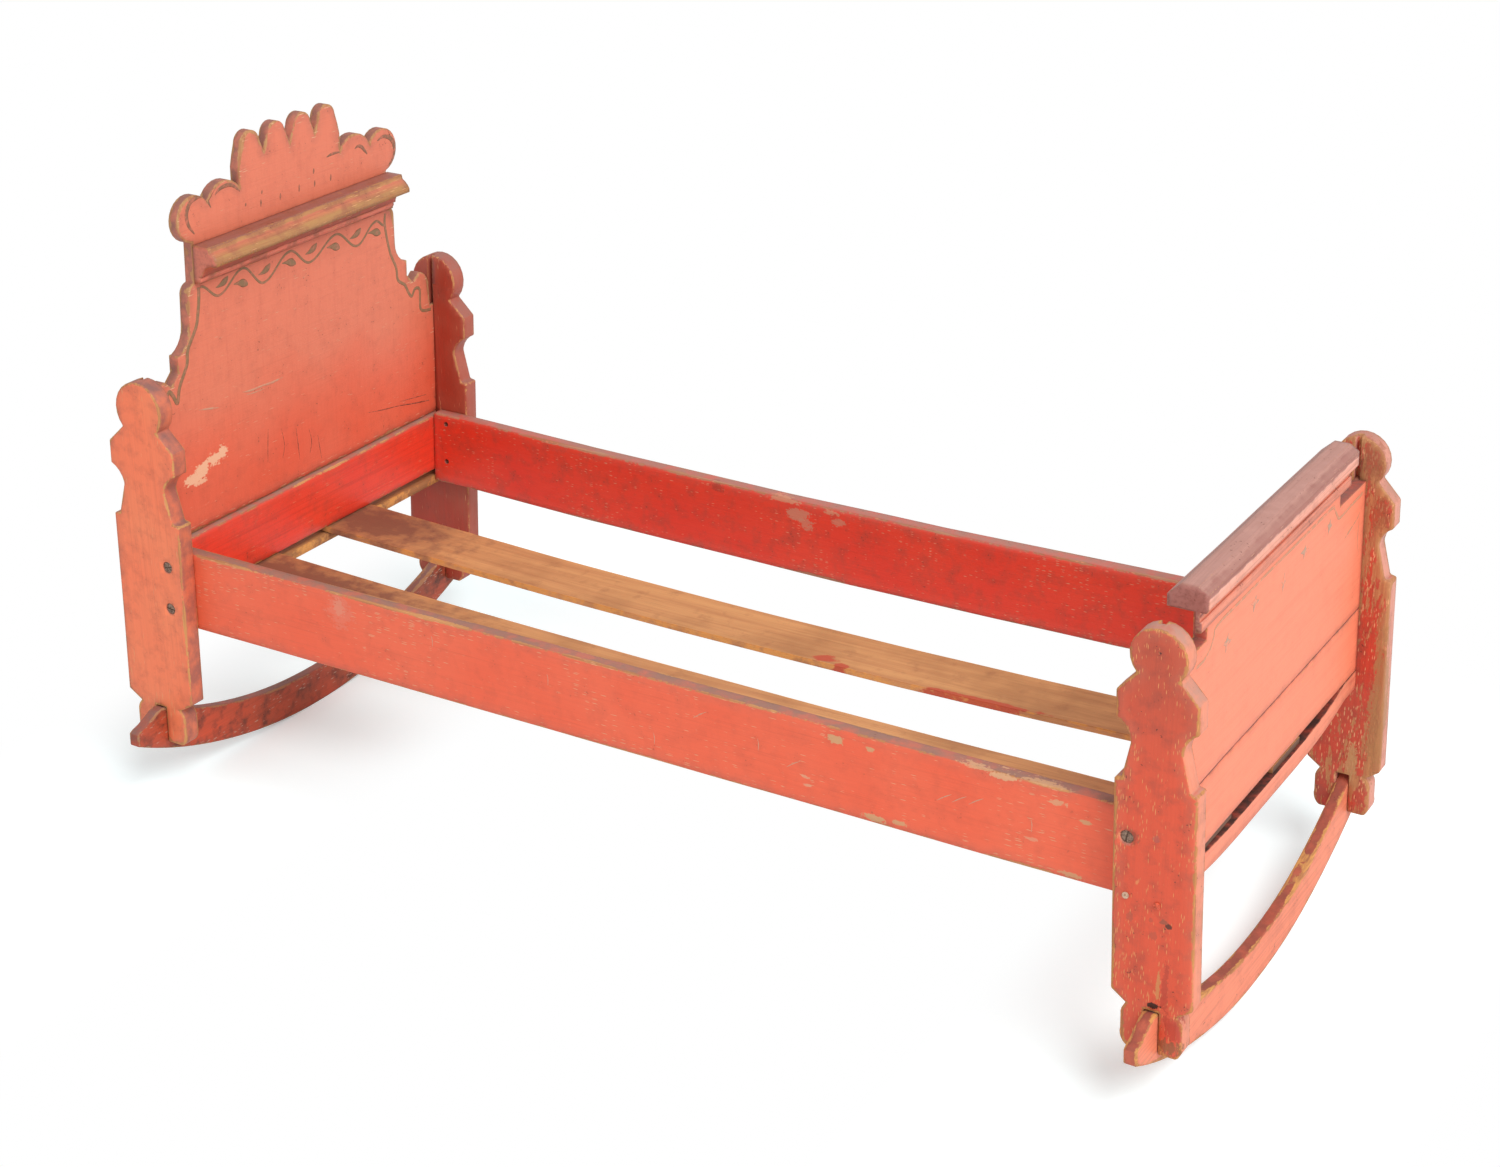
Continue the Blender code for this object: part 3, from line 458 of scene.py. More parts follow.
# %% The layers of the paint
def painted_pine(name, grain, thick, seed, paint="#E8513A", faded="#E2694F", deep="#B8382A", fading=0.5,
                 rise_fade=None, faded_and_lit_axis=None, faded_and_lit_paint="#F98E70", brush=None, streaks=0.32,
                 sawn="#9B5A50", grime=0.75, rim=0.22, edge="#D99F62", wear=1.0, dust_and_shade="#8B625B", dusty=0.8,
                 flakes=0.3, edge_flakes=0.15, flake="#DCA272", flake_size=(9, 0.8), chips=0.2,
                 stain="#8F4233", specks=0.3, dirt=0.4, bands=(), patches=(), joints=0.5, rough=0.5,
                 mottle=0.45):
    material, tree = empty_material(name)
    spot, fibre, strokes, broad, middle, fine, ragged, cells = paint_patterns(
        tree, seed, grain, brush or grain, flake_size)
    facing = add(tree, "ShaderNodeNewGeometry").outputs["Normal"]
    facing = add(tree, "ShaderNodeSeparateXYZ", {0: facing})
    height = add(tree, "ShaderNodeSeparateXYZ", {0: spot}).outputs[2]

    # Fading: by patches, and on the headboard and the near foot post also by height.
    amount = add(tree, "ShaderNodeMapRange", {0: broad, 1: 0.35, 2: 0.65, 3: 0.0, 4: fading})
    if rise_fade:
        by_height = add(tree, "ShaderNodeMapRange", {0: height, 1: rise_fade[0], 2: rise_fade[1]},
                        interpolation_type="SMOOTHSTEP")
        amount = add(tree, "ShaderNodeMath", {0: amount, 1: by_height}, operation="ADD", use_clamp=True)
    colour = add(tree, "ShaderNodeMix", {0: amount, 6: hex_colour(paint), 7: hex_colour(faded)},
                 data_type="RGBA").outputs[2]
    # Faces that look along this axis, towards the lamp, get a paler paint: fading, and painted light.
    if faded_and_lit_axis:
        colour = coat(tree, colour, faded_and_lit_paint, facing.outputs[ALONG[faded_and_lit_axis]], 0.3, 0.8)

    if bands:
        colour = in_bands(tree, colour, bands, mottle, facing.outputs[ALONG[grain]], height, middle)

    # Brush marks, fibres and blotches.
    colour = coat(tree, colour, deep, strokes, 0.48, 0.72, streaks)
    colour = coat(tree, colour, FIBRE_BROWN, fibre, 0.55, 0.75, 0.8 * streaks)
    colour = coat(tree, colour, stain, middle, 0.47, 0.70, dirt)

    # Grime on the faces that were sawn across the board.
    flat = add(tree, "ShaderNodeMath", {0: facing.outputs[ALONG[thick]]}, operation="ABSOLUTE")
    cut = add(tree, "ShaderNodeMapRange", {0: flat, 1: 0.75, 2: 0.45, 3: 0.0, 4: grime})
    patchy = add(tree, "ShaderNodeMapRange", {0: middle, 1: 0.36, 2: 0.60, 3: 0.45, 4: 1.0})
    cut = add(tree, "ShaderNodeMath", {0: cut, 1: patchy}, operation="MULTIPLY")
    gap = add(tree, "ShaderNodeAttribute", attribute_name="edge_gap").outputs["Fac"]
    handled = add(tree, "ShaderNodeMapRange", {0: gap, 1: GRIPPED_RIM, 2: 0.0, 3: 0.0, 4: rim})
    handled = add(tree, "ShaderNodeMath", {0: handled, 1: patchy}, operation="MULTIPLY")
    cut = add(tree, "ShaderNodeMath", {0: cut, 1: handled}, operation="MAXIMUM")
    colour = add(tree, "ShaderNodeMix", {0: cut, 6: colour, 7: hex_colour(sawn)},
                 data_type="RGBA").outputs[2]

    # Dust settles on what looks up. On the foot bearer's top, under the slat ends, this layer is a
    # near-black painted shade.
    level_top = add(tree, "ShaderNodeMapRange", {0: facing.outputs[2], 1: 0.30, 2: 0.75, 3: 0.0, 4: dusty})
    dust_and_shade_share = add(tree, "ShaderNodeMath", {0: level_top, 1: patchy}, operation="MULTIPLY")
    colour = add(tree, "ShaderNodeMix", {0: dust_and_shade_share, 6: colour, 7: hex_colour(dust_and_shade)},
                 data_type="RGBA").outputs[2]

    # Small dark specks, more where the paint is blotched.
    grit = add(tree, "ShaderNodeMath", {0: middle, 1: 0.55, 2: fine}, operation="MULTIPLY_ADD")
    colour = coat(tree, colour, SPECK_DIRT, grit, 0.99, 1.04, specks)

    # Edges worn to the wood: a thin line that breaks off, and here and there a patch.
    thin = add(tree, "ShaderNodeMapRange",
               {0: middle, 1: 0.40, 2: 0.62, 3: LEAST_WEAR, 4: WORN_LINE * wear})
    wide = add(tree, "ShaderNodeMapRange", {0: broad, 1: 0.52, 2: 0.68, 3: 0.0, 4: WORN_PATCH * wear})
    reach = add(tree, "ShaderNodeMath", {0: thin, 1: wide}, operation="ADD")
    reach = add(tree, "ShaderNodeMath", {0: fine, 1: WORN_FRAY, 2: reach}, operation="MULTIPLY_ADD")
    bare = add(tree, "ShaderNodeMath", {0: reach, 1: gap}, operation="SUBTRACT")
    bare = add(tree, "ShaderNodeMapRange", {0: bare, 1: BARE_STARTS, 2: BARE_FULL, 3: 0.0, 4: 0.9})
    wood = coat(tree, WOOD_BROWN, edge, strokes, 0.35, 0.65)
    colour = add(tree, "ShaderNodeMix", {0: bare, 6: colour, 7: wood}, data_type="RGBA").outputs[2]

    # Flakes: thin dashes along the grain, in crowds, and more of them near the edges.
    chance = add(tree, "ShaderNodeSeparateColor", {0: cells.outputs["Color"]})
    crowd = add(tree, "ShaderNodeMapRange", {0: broad, 1: 0.42, 2: 0.68, 3: 0.12 * flakes, 4: flakes})
    crowded_edge = add(tree, "ShaderNodeMapRange", {0: gap, 1: FLAKED_RIM, 2: 0.0, 3: 0.0, 4: edge_flakes})
    crowd = add(tree, "ShaderNodeMath", {0: crowd, 1: crowded_edge}, operation="ADD")
    size = add(tree, "ShaderNodeMath", {0: crowd, 1: chance.outputs[0]}, operation="SUBTRACT")
    size = add(tree, "ShaderNodeMath", {0: size, 1: 0.16}, operation="MINIMUM")
    flaked = add(tree, "ShaderNodeMath", {0: size, 1: cells.outputs["Distance"]}, operation="SUBTRACT")
    broad_face = add(tree, "ShaderNodeMapRange", {0: flat, 1: 0.45, 2: 0.75, 3: 0.0, 4: 0.85})
    flaked = add(tree, "ShaderNodeMapRange", {0: flaked, 1: -0.24, 2: -0.06, 3: 0.0, 4: broad_face})
    colour = add(tree, "ShaderNodeMix", {0: flaked, 6: colour, 7: hex_colour(flake)},
                 data_type="RGBA").outputs[2]
    bare = add(tree, "ShaderNodeMath", {0: bare, 1: flaked}, operation="MAXIMUM")

    # Chips: ragged patches down to the wood, in the same crowds.
    crowded = add(tree, "ShaderNodeMath", {0: crowd, 1: 0.10, 2: ragged}, operation="MULTIPLY_ADD")
    chipped = add(tree, "ShaderNodeMapRange", {0: crowded, 1: 0.78 - 0.17 * chips, 2: 0.80 - 0.17 * chips,
                                               3: 0.0, 4: broad_face})
    colour = add(tree, "ShaderNodeMix", {0: chipped, 6: colour, 7: wood}, data_type="RGBA").outputs[2]
    bare = add(tree, "ShaderNodeMath", {0: bare, 1: chipped}, operation="MAXIMUM")

    # Marks at known places: centre and half-widths in millimetres, colour, strength.
    for centre, half, shade, strength in patches:
        radius = from_centre(tree, spot, centre, half)
        radius = add(tree, "ShaderNodeMath", {0: ragged, 1: MARK_RAGGED, 2: radius},
                     operation="MULTIPLY_ADD")
        radius = add(tree, "ShaderNodeMath", {0: fine, 1: MARK_FRAYED, 2: radius}, operation="MULTIPLY_ADD")
        colour = coat(tree, colour, shade, radius, MARK_STARTS, MARK_FULL, strength)

    # Dirt and painted contact shade in the joints come last, because they lie on everything.
    touch = add(tree, "ShaderNodeAttribute", attribute_name="touch_gap").outputs["Fac"]
    joint = add(tree, "ShaderNodeMapRange", {0: middle, 1: 0.3, 2: 0.7, 3: LEAST_WEAR, 4: JOINT_GRIME_AND_SHADE_REACH})
    joint = add(tree, "ShaderNodeMath", {0: joint, 1: touch}, operation="SUBTRACT")
    colour = coat(tree, colour, JOINT_GRIME_AND_SHADE, joint, JOINT_STARTS, JOINT_FULL, joints)

    # The paint is a skin that ends at each bare place, over ridges of fibre.
    skin = add(tree, "ShaderNodeMapRange", {0: bare, 3: 1.0, 4: 0.0})
    relief = add(tree, "ShaderNodeMath", {0: fibre, 1: 0.9, 2: skin}, operation="MULTIPLY_ADD")
    relief = add(tree, "ShaderNodeMath", {0: fine, 1: 0.35, 2: relief}, operation="MULTIPLY_ADD")
    bump = add(tree, "ShaderNodeBump", {"Height": relief, "Strength": 0.5, "Distance": FIBRE_RELIEF})
    dull = add(tree, "ShaderNodeMath", {0: bare, 1: dust_and_shade_share}, operation="MAXIMUM")
    dull = add(tree, "ShaderNodeMapRange", {0: dull, 3: rough, 4: 0.8})
    surface = add(tree, "ShaderNodeBsdfPrincipled",
                  {"Base Color": colour, "Roughness": dull, "Normal": bump, "IOR": OIL_AND_WOOD_IOR})
    add(tree, "ShaderNodeOutputMaterial", {"Surface": surface})
    return material


print("paint layers ready")

# %% [markdown]
# ## The headboard
# It is built of three boards: a broad one cut into a crest like the fingers of a hand, a moulding
# nailed across its face, and a lower board between the posts. Each has its own share of light.
# The panel has faded to salmon in its middle and is still red low down, and a cream patch shows
# the ground under its paint. The moulding is worn in bands that follow its profile: dusty on its
# ledge, rubbed to ochre on its slope, and pink on the bead below. Some bands are painted light and
# shade: the darker red in the cove and the dark line at its foot are painted shade, and the bright
# pink of the bead, which looks down, is painted light. A colour ramp over the height draws them,
# because each band lies at one height all along. The lower board, which lay behind the pillow, is
# the reddest of all.

# %% Headboard boards
CREAM, OLD_WOOD = "#EDB894", "#C99A6E"
headboard = hand_cut("headboard_panel", painted_pine(
    "faded_red_oil_paint_on_headboard", "Y", "X", 1, paint="#E46042", faded="#DF7C5F", deep="#C65138",
    fading=0.30, rise_fade=(0.18, 0.27), brush="Z", streaks=0.13, rim=0.35, sawn="#85574C", grime=0.9,
    wear=1.35, edge="#BE9262", chips=0.05, flakes=0.06, edge_flakes=0.25, flake="#E3B592", specks=0.5,
    dirt=0.14, dust_and_shade="#8A5C50", joints=0.3,
    patches=[((-321.9, -104, 195.8), (5, 6.5, 3.6), CREAM, 1.0),
             ((-321.9, -95, 199.5), (5, 6.5, 4.2), CREAM, 1.0),
             ((-321.9, -84, 203.0), (5, 6.5, 4.4), CREAM, 1.0),
             ((-321.9, -77, 205.5), (5, 4, 4), CREAM, 1.0),
             ((-322.0, -99, 192.6), (5, 7, 1.8), CREAM, 0.9)]))
# In these bands, the dark line at 0.3180 and the darker red from 0.3228 to 0.3290 are painted shade, and
# the bright pink of the bead is painted light.
hand_cut("headboard_crown_moulding", painted_pine(
    "worn_red_oil_paint_on_moulding", "Y", "X", 2, paint="#C9705A", faded="#CF8468", chips=0.35, grime=0.0,
    streaks=0.45, joints=0.3, deep="#7E4A34", dust_and_shade="#86564C", dusty=0.0, wear=0.5, edge="#C08C52",
    flakes=0.35, specks=0.6, dirt=0.35,
    bands=[(0.3180, "#A84A38"), (0.3188, "#EE8268"), (0.3222, "#F08A70"), (0.3228, "#B85440"),
           (0.3290, "#C0603A"), (0.3305, "#AF8250"), (0.3352, "#B5854F"), (0.3366, "#C07850"),
           (0.3382, "#CB7356"), (0.3392, "#BD8552"), (0.3408, "#B27A48"), (0.3412, "#976459"),
           (0.3416, "#976459")]), cell=0.003)
hand_cut("headboard_lower_board", painted_pine(
    "deep_red_oil_paint_on_lower_board", "Y", "X", 3, paint="#EB3E27", faded="#E75336", deep="#A8221A",
    fading=0.4, flakes=0.08, specks=0.4, dirt=0.25, rough=0.4, joints=0.15, dust_and_shade="#A07C6C", dusty=1.0))

# %% [markdown]
# ## The footboard
# Its outer face has faded, and is painted paler still on the faces that look towards the lamp,
# which is painted light: together they give a pale apricot. Its cap is a thick hand-planed rail,
# and years of hands and dust have turned its top mauve-brown.

# %% Footboard boards
footboard = hand_cut("footboard_panel", painted_pine(
    "apricot_faded_and_lit_oil_paint_on_footboard", "Y", "X", 4, faded_and_lit_axis="X", faded_and_lit_paint="#F68968", deep="#D9674B",
    fading=0.3, chips=0.0, streaks=0.2, wear=0.5, flakes=0.05, specks=0.25, dirt=0.08, dust_and_shade="#7E554C",
    sawn="#7E554C", joints=0.35))
hand_cut("footboard_lower_board", painted_pine(
    "apricot_faded_and_lit_oil_paint_on_foot_lower_board", "Y", "X", 5, faded_and_lit_axis="X", faded_and_lit_paint="#F58866",
    deep="#D9674B", fading=0.3, streaks=0.2, wear=0.25, chips=0.0, flakes=0.06, specks=0.25, dirt=0.08,
    grime=0.9, sawn="#4A2A20"))
# In the cap's bands, the dark line at 0.2632, under its lip, is a painted shadow.
hand_cut("footboard_cap", painted_pine(
    "dusty_red_oil_paint_on_cap", "Y", "X", 6, paint="#9A5C52", faded="#AC6E64", deep="#6E3A30", fading=0.8,
    streaks=0.5, sawn="#7E4038", grime=0.0, rim=0.0, dust_and_shade="#B98E82", dusty=0.45, wear=0.0, edge="#D3A48A",
    chips=0.0, flakes=0.05, flake="#D9A48C", edge_flakes=0.1, dirt=0.22, specks=0.9, joints=0.2, mottle=0.1,
    bands=[(0.2546, "#E08468"), (0.2622, "#E58A6E"), (0.2632, "#8E4436"), (0.2642, "#E8947B"),
           (0.2712, "#ECA48D"), (0.2724, "#E7A592"), (0.2730, "#A66C60"), (0.2770, "#945C52"),
           (0.2782, "#B98578"), (0.2788, "#B07B70")]), cell=0.003)
# The foot bearer's top lies under the slat ends, and its near-black top colour there is painted shade.
hand_cut("foot_slat_bearer", painted_pine(
    "faded_red_oil_paint_on_foot_bearer", "Y", "X", 7, faded_and_lit_axis="X", faded_and_lit_paint="#EE8A6A", wear=0.2,
    flakes=0.15, dirt=0.12, dusty=1.0, dust_and_shade="#3A1E16", sawn="#5A3226", grime=0.9, edge="#C98A68",
    joints=0.25))

# %% [markdown]
# ## Posts, rails and rockers
# The posts carry the most wear, because they were gripped. The foot posts are mottled and scored
# with ochre fibres, while the head posts stood against the wall and stayed smooth. The far head
# post's paint is darkened to a browner red, which is painted shade on its inner face. The near
# rail is flaked towards the foot, and the far rail shows its inner face, which the light never
# reached. The rockers are the dirtiest, with black grime over their red.

# %% Posts
hand_cut("head_post_near", painted_pine(
    "red_oil_paint_on_near_head_post", "Z", "Y", 8, chips=0.1, paint="#EE7850", faded="#EC855A",
    deep="#C46444", fading=0.6, wear=0.8, flakes=0.10, specks=0.3, dirt=0.3, dust_and_shade="#84605A", edge="#D09A5C",
    sawn="#8E5850", streaks=0.2))
# The far head post's paint is darkened to a brown red, which is painted shade on its inner face.
hand_cut("head_post_far", painted_pine(
    "red_oil_paint_darkened_as_shade_on_far_head_post", "Z", "Y", 9, paint="#A23C29", faded="#B36F56", fading=0.6, wear=0.7,
    flakes=0.10, dust_and_shade="#97695F", sawn="#B0604E", dirt=0.4, streaks=0.35))
# The two near-black marks on this post are holes drawn in paint, and their black is painted shade.
hand_cut("foot_post_near", painted_pine(
    "worn_red_oil_paint_on_near_foot_post", "Z", "Y", 10, rise_fade=(0.17, 0.26), paint="#DD5435",
    faded="#BE4F36", deep="#B0432C", fading=0.3, wear=1.15, flakes=0.62, edge_flakes=0.25,
    flake_size=(4.5, 0.7), chips=0.25, flake="#E39A62", edge="#C98F4C", specks=1.0, dirt=0.5,
    dust_and_shade="#B08C7E", sawn="#CB8268", grime=0.5, streaks=0.2, rim=0.25, joints=0.25, faded_and_lit_axis="X",
    faded_and_lit_paint="#EA8C6C",
    patches=[((313.0, -147.5, 154.5), (5.0, 4, 4.6), "#8A4A34", 0.5),
             ((333.3, -147.5, 77), (1.2, 4, 9), "#C9824E", 0.9),
             ((336.9, -147.5, 77), (2.0, 4, 12), "#A83A2A", 0.6),
             ((343.0, -147.5, 53), (4.5, 9, 9), "#A8382A", 0.6),
             ((342.5, -147.5, 42), (6, 9, 4), "#8A5A3A", 0.8),
             ((334.3, -147.5, 112.8), (1.9, 4, 1.1), "#86503C", 0.7),
             ((337.6, -147.5, 110.9), (1.7, 4, 1.3), "#4A2A1E", 0.9),
             ((331.3, -147.5, 63.4), (2.8, 4, 1.5), "#241008", 0.95),
             ((327.6, -147.5, 157.3), (1.8, 4, 1.8), "#A4564C", 0.6),
             ((316.4, -147.5, 110.5), (2.2, 4, 2.2), "#A4503C", 0.6),
             ((327.4, -147.5, 111.6), (1.4, 4, 1.4), "#A4503C", 0.5),
             ((329.2, -147.5, 103.1), (2.0, 4, 2.4), "#A4503C", 0.5)]))
hand_cut("foot_post_far", painted_pine(
    "worn_red_oil_paint_on_far_foot_post", "Z", "Y", 11, paint="#C4402B", faded="#BE5138", deep="#8E3022",
    fading=0.5, wear=0.9, flakes=1.15, edge_flakes=0.4, flake_size=(4.5, 1.2), chips=1.05, flake="#DDA274",
    edge="#BC8656", specks=0.8, dirt=0.6, dust_and_shade="#B08474", faded_and_lit_axis="X", faded_and_lit_paint="#DE9680", sawn="#C98472",
    grime=0.6, streaks=0.3, joints=0.3,
    patches=[((347.5, 136, 105), (5.5, 9, 42), "#A9764A", 0.85),
             ((345.0, 136, 150), (3.0, 9, 16), "#A9764A", 0.7),
             ((335.0, 136, 68), (3.0, 9, 12), "#B98A5C", 0.8),
             ((331.0, 136, 256), (7, 9, 12), "#9A5C3C", 0.6),
             ((337.0, 136, 224), (4, 9, 12), "#9A5C3C", 0.6)]))

# %% Rails
near_rail = hand_cut("side_rail_near", painted_pine(
    "red_oil_paint_on_near_rail", "X", "Y", 12, paint="#E9603F", faded="#EA6F4E", deep="#D05A3C",
    fading=0.5, wear=0.75, edge="#D39A62", streaks=0.2, chips=0.15, flakes=0.34, flake_size=(6, 0.7),
    flake="#E2A07A", specks=0.3, dirt=0.15, dust_and_shade="#967062", sawn="#8E665A", dusty=0.9,
    patches=[((143.5, -135.7, 156.8), (4.2, 8, 2.3), OLD_WOOD, 0.95),
             ((240, -135.7, 161.8), (8, 8, 1.9), "#D2A27A", 0.9),
             ((166, -135.7, 117.3), (7, 8, 2.0), OLD_WOOD, 0.9),
             ((182, -135.7, 118.2), (5, 8, 1.5), OLD_WOOD, 0.85),
             ((164, -135.7, 157.2), (3.4, 8, 1.7), OLD_WOOD, 0.85),
             ((286, -135.7, 148.8), (2.8, 8, 1.3), OLD_WOOD, 0.85),
             ((-186, -135.7, 152), (9, 8, 8.5), "#E0775E", 0.6),
             ((-187, -135.7, 154), (4, 8, 5), "#DB8A70", 0.6),
             ((262, -140, 164.5), (14, 9, 2), "#D2A27A", 0.7),
             ((226, -140, 164), (12, 9, 2), "#D2A27A", 0.7),
             ((278, -135.7, 116.9), (8, 8, 1.3), OLD_WOOD, 0.8),
             ((270, -135.7, 155.4), (5, 8, 1.6), "#D2A27A", 0.7),
             ((125, -135.7, 130), (2.4, 8, 0.8), "#D99A78", 0.8),
             ((126.5, -135.7, 125.4), (2.4, 8, 0.8), "#D99A78", 0.8),
             ((256, -135.7, 131), (3.5, 8, 0.9), "#D99A78", 0.6)]))
CHIPS_IN_FAR_RAIL = [((-36, 119, 162), (10, 7, 2.4), "#C98A6C", 0.8),
                     ((-26, 119, 155), (7, 7, 4.5), "#C4836A", 0.8),
                     ((-20, 119, 149), (5, 7, 3.4), "#C4836A", 0.7),
                     ((-2, 119, 161), (6, 7, 2.0), "#C98A6C", 0.8),
                     ((-86, 119, 160), (5, 7, 3), "#8E3A2C", 0.5),
                     ((2, 119, 155), (4, 7, 2.4), "#C4836A", 0.7)]
hand_cut("side_rail_far", painted_pine(
    "deep_red_oil_paint_on_far_rail", "X", "Y", 13, paint="#DE3722", faded="#E4482C", deep="#A72417",
    fading=0.5, wear=0.8, streaks=0.12, chips=0.3, flakes=0.34, flake_size=(4, 0.9), flake="#D98A6A",
    specks=0.5, dirt=0.4, dust_and_shade="#A9776A", sawn="#A9776A", edge="#B98E72", rough=0.42,
    patches=CHIPS_IN_FAR_RAIL))

# %% Rockers
hand_cut("head_rocker", painted_pine(
    "grimy_red_oil_paint_on_head_rocker", "Y", "X", 14, paint="#D0502F", faded="#8A4A34", deep="#4E2A20",
    fading=0.8, wear=0.9, chips=0.55, flakes=0.35, flake="#B8937E", flake_size=(5, 1.2), specks=1.0,
    dirt=0.85, stain="#4E2E24", dust_and_shade="#86625A", sawn="#7E4538", edge="#A57C5C"), cell=0.003)
hand_cut("foot_rocker", painted_pine(
    "faded_and_lit_red_oil_paint_on_foot_rocker", "Y", "X", 15, paint="#D76040", faded="#E27C5B", deep="#8E3E2E",
    fading=0.7, wear=1.3, chips=0.1, flakes=0.2, specks=0.6, dirt=0.15, dust_and_shade="#8E4A3C", sawn="#92483A",
    edge="#DCA058", faded_and_lit_axis="X", faded_and_lit_paint="#EC8866",
    patches=[((333, -186, 62), (9, 8, 7), "#D9A060", 0.7)]), cell=0.003)

# %% [markdown]
# ## Bare pine
# The slats and the strip that carries them at the head were never painted. Pine left bare for a
# century turns honey-brown, darker and greyer where dust and hands reached it. Its growth rings
# show as long soft streaks, and drips of red paint lie where the brush slipped. The streaks are
# one noise drawn out along the board, 160 mm long and 6 mm wide, with a finer one for the fibres.

# %% Old bare pine
RING, BARE_FIBRE = (160, 6), (30, 0.7)  # mm along the grain and across it
BARE_BROAD = 18.0  # blotches per metre
RUBBED_LINE, RUBBED_SOFT, SLAT_GAP_SHADE_AND_DIRT_REACH = 0.00112, 0.0003, 0.0022  # metres
RUBBED_PINE, SPOT_BROWN, END_BROWN, GAP_GRIME_AND_SHADE = "#D9984F", "#8A5236", "#5E3E32", "#3E2418"
DRIP_RED, OLD_STAIN, STAIN_SOFT = "#B8452F", "#75483A", 0.35
DRIP_RAGGED, DRIP_STARTS, DRIP_FULL, DRIP_MOST = 2.2, 2.15, 1.90, 0.85


def old_bare_pine(name, grain, seed, pale="#BE8150", brown="#A66C41", dark="#7C4F32", drips=(), stains=()):
    material, tree = empty_material(name)
    spot = add(tree, "ShaderNodeTexCoord").outputs["Object"]
    shifted = add(tree, "ShaderNodeMapping",
                  {"Vector": spot, "Location": (seed * 1.1, seed * 1.3, seed * 0.7)})
    rings = add(tree, "ShaderNodeMapping", {"Vector": shifted, "Scale": stretched(*RING, grain)})
    rings = add(tree, "ShaderNodeTexNoise", {"Vector": rings, "Scale": 1.0, "Detail": 3.0, "Roughness": 0.5,
                                             "Distortion": 0.5})
    fibres = add(tree, "ShaderNodeMapping", {"Vector": shifted, "Scale": stretched(*BARE_FIBRE, grain)})
    fibre = add(tree, "ShaderNodeTexNoise", {"Vector": fibres, "Scale": 1.0, "Detail": 3.0})
    broad = add(tree, "ShaderNodeTexNoise", {"Vector": shifted, "Scale": BARE_BROAD, "Detail": 4.0})
    middle = add(tree, "ShaderNodeTexNoise", {"Vector": shifted, "Scale": MIDDLE, "Detail": 4.0,
                                              "Roughness": 0.6})

    # Growth rings, then stains, fibres and spots.
    colour = coat(tree, brown, pale, rings, 0.34, 0.66)
    colour = coat(tree, colour, dark, broad, 0.44, 0.68, 0.5)
    colour = coat(tree, colour, dark, fibre, 0.52, 0.78, 0.35)
    colour = coat(tree, colour, SPOT_BROWN, middle, 0.56, 0.76, 0.4)

    # Edges rubbed pale, and dark end grain.
    gap = add(tree, "ShaderNodeAttribute", attribute_name="edge_gap").outputs["Fac"]
    reach = add(tree, "ShaderNodeMapRange", {0: middle, 1: 0.40, 2: 0.62, 3: LEAST_WEAR, 4: RUBBED_LINE})
    rubbed = add(tree, "ShaderNodeMath", {0: reach, 1: gap}, operation="SUBTRACT")
    colour = coat(tree, colour, RUBBED_PINE, rubbed, -RUBBED_SOFT, RUBBED_SOFT, 0.8)
    facing = add(tree, "ShaderNodeSeparateXYZ", {0: add(tree, "ShaderNodeNewGeometry").outputs["Normal"]})
    end_grain = add(tree, "ShaderNodeMath", {0: facing.outputs[ALONG[grain]]}, operation="ABSOLUTE")
    colour = coat(tree, colour, END_BROWN, end_grain, 0.4, 0.7, 0.9)

    # Stains with soft edges and drips with sharp ones, at known places.
    marks = [(*stain, OLD_STAIN, STAIN_SOFT) for stain in stains] + [(*drip, DRIP_RED, 0.0)
                                                                     for drip in drips]
    for centre, half, shade, soft in marks:
        radius = from_centre(tree, spot, centre, half)
        radius = add(tree, "ShaderNodeMath", {0: middle, 1: DRIP_RAGGED, 2: radius},
                     operation="MULTIPLY_ADD")
        colour = coat(tree, colour, shade, radius, DRIP_STARTS + soft, DRIP_FULL - soft, DRIP_MOST)

    # Dirt and painted contact shade in the joints, over ridges of fibre.
    touch = add(tree, "ShaderNodeAttribute", attribute_name="touch_gap").outputs["Fac"]
    colour = coat(tree, colour, GAP_GRIME_AND_SHADE, touch, SLAT_GAP_SHADE_AND_DIRT_REACH, 0.0, 0.6)
    relief = add(tree, "ShaderNodeMath", {0: fibre, 1: 0.7, 2: rings}, operation="MULTIPLY_ADD")
    bump = add(tree, "ShaderNodeBump", {"Height": relief, "Strength": 0.4, "Distance": FIBRE_RELIEF})
    surface = add(tree, "ShaderNodeBsdfPrincipled",
                  {"Base Color": colour, "Roughness": 0.68, "Normal": bump, "IOR": OIL_AND_WOOD_IOR})
    add(tree, "ShaderNodeOutputMaterial", {"Surface": surface})
    return material


# The strip at the head is given darker browns than the slats.
bearer_pine = old_bare_pine("bare_pine_aged_bearer", "Y", 22, pale="#B07A4C", brown="#946038")
hand_cut("head_slat_bearer", bearer_pine)

# %% [markdown]
# ## Growing shapes by rule
# The slats, the screws, the nails and the painted lines all repeat: the same shape with other
# sizes. Geometry Nodes suit that, because a tree is drawn once and then fed with numbers. One
# function feeds a tree through its named inputs and turns the result into a plain mesh.

# %% Feed a tree and keep the mesh
def tree_of(name, sizes):
    tree = bpy.data.node_groups.new(name, "GeometryNodeTree")
    tree.interface.new_socket("Start", in_out="INPUT", socket_type="NodeSocketGeometry")
    for label, kind in sizes.items():
        tree.interface.new_socket(label, in_out="INPUT", socket_type=kind)
    tree.interface.new_socket("Result", in_out="OUTPUT", socket_type="NodeSocketGeometry")
    return tree, add(tree, "NodeGroupInput")


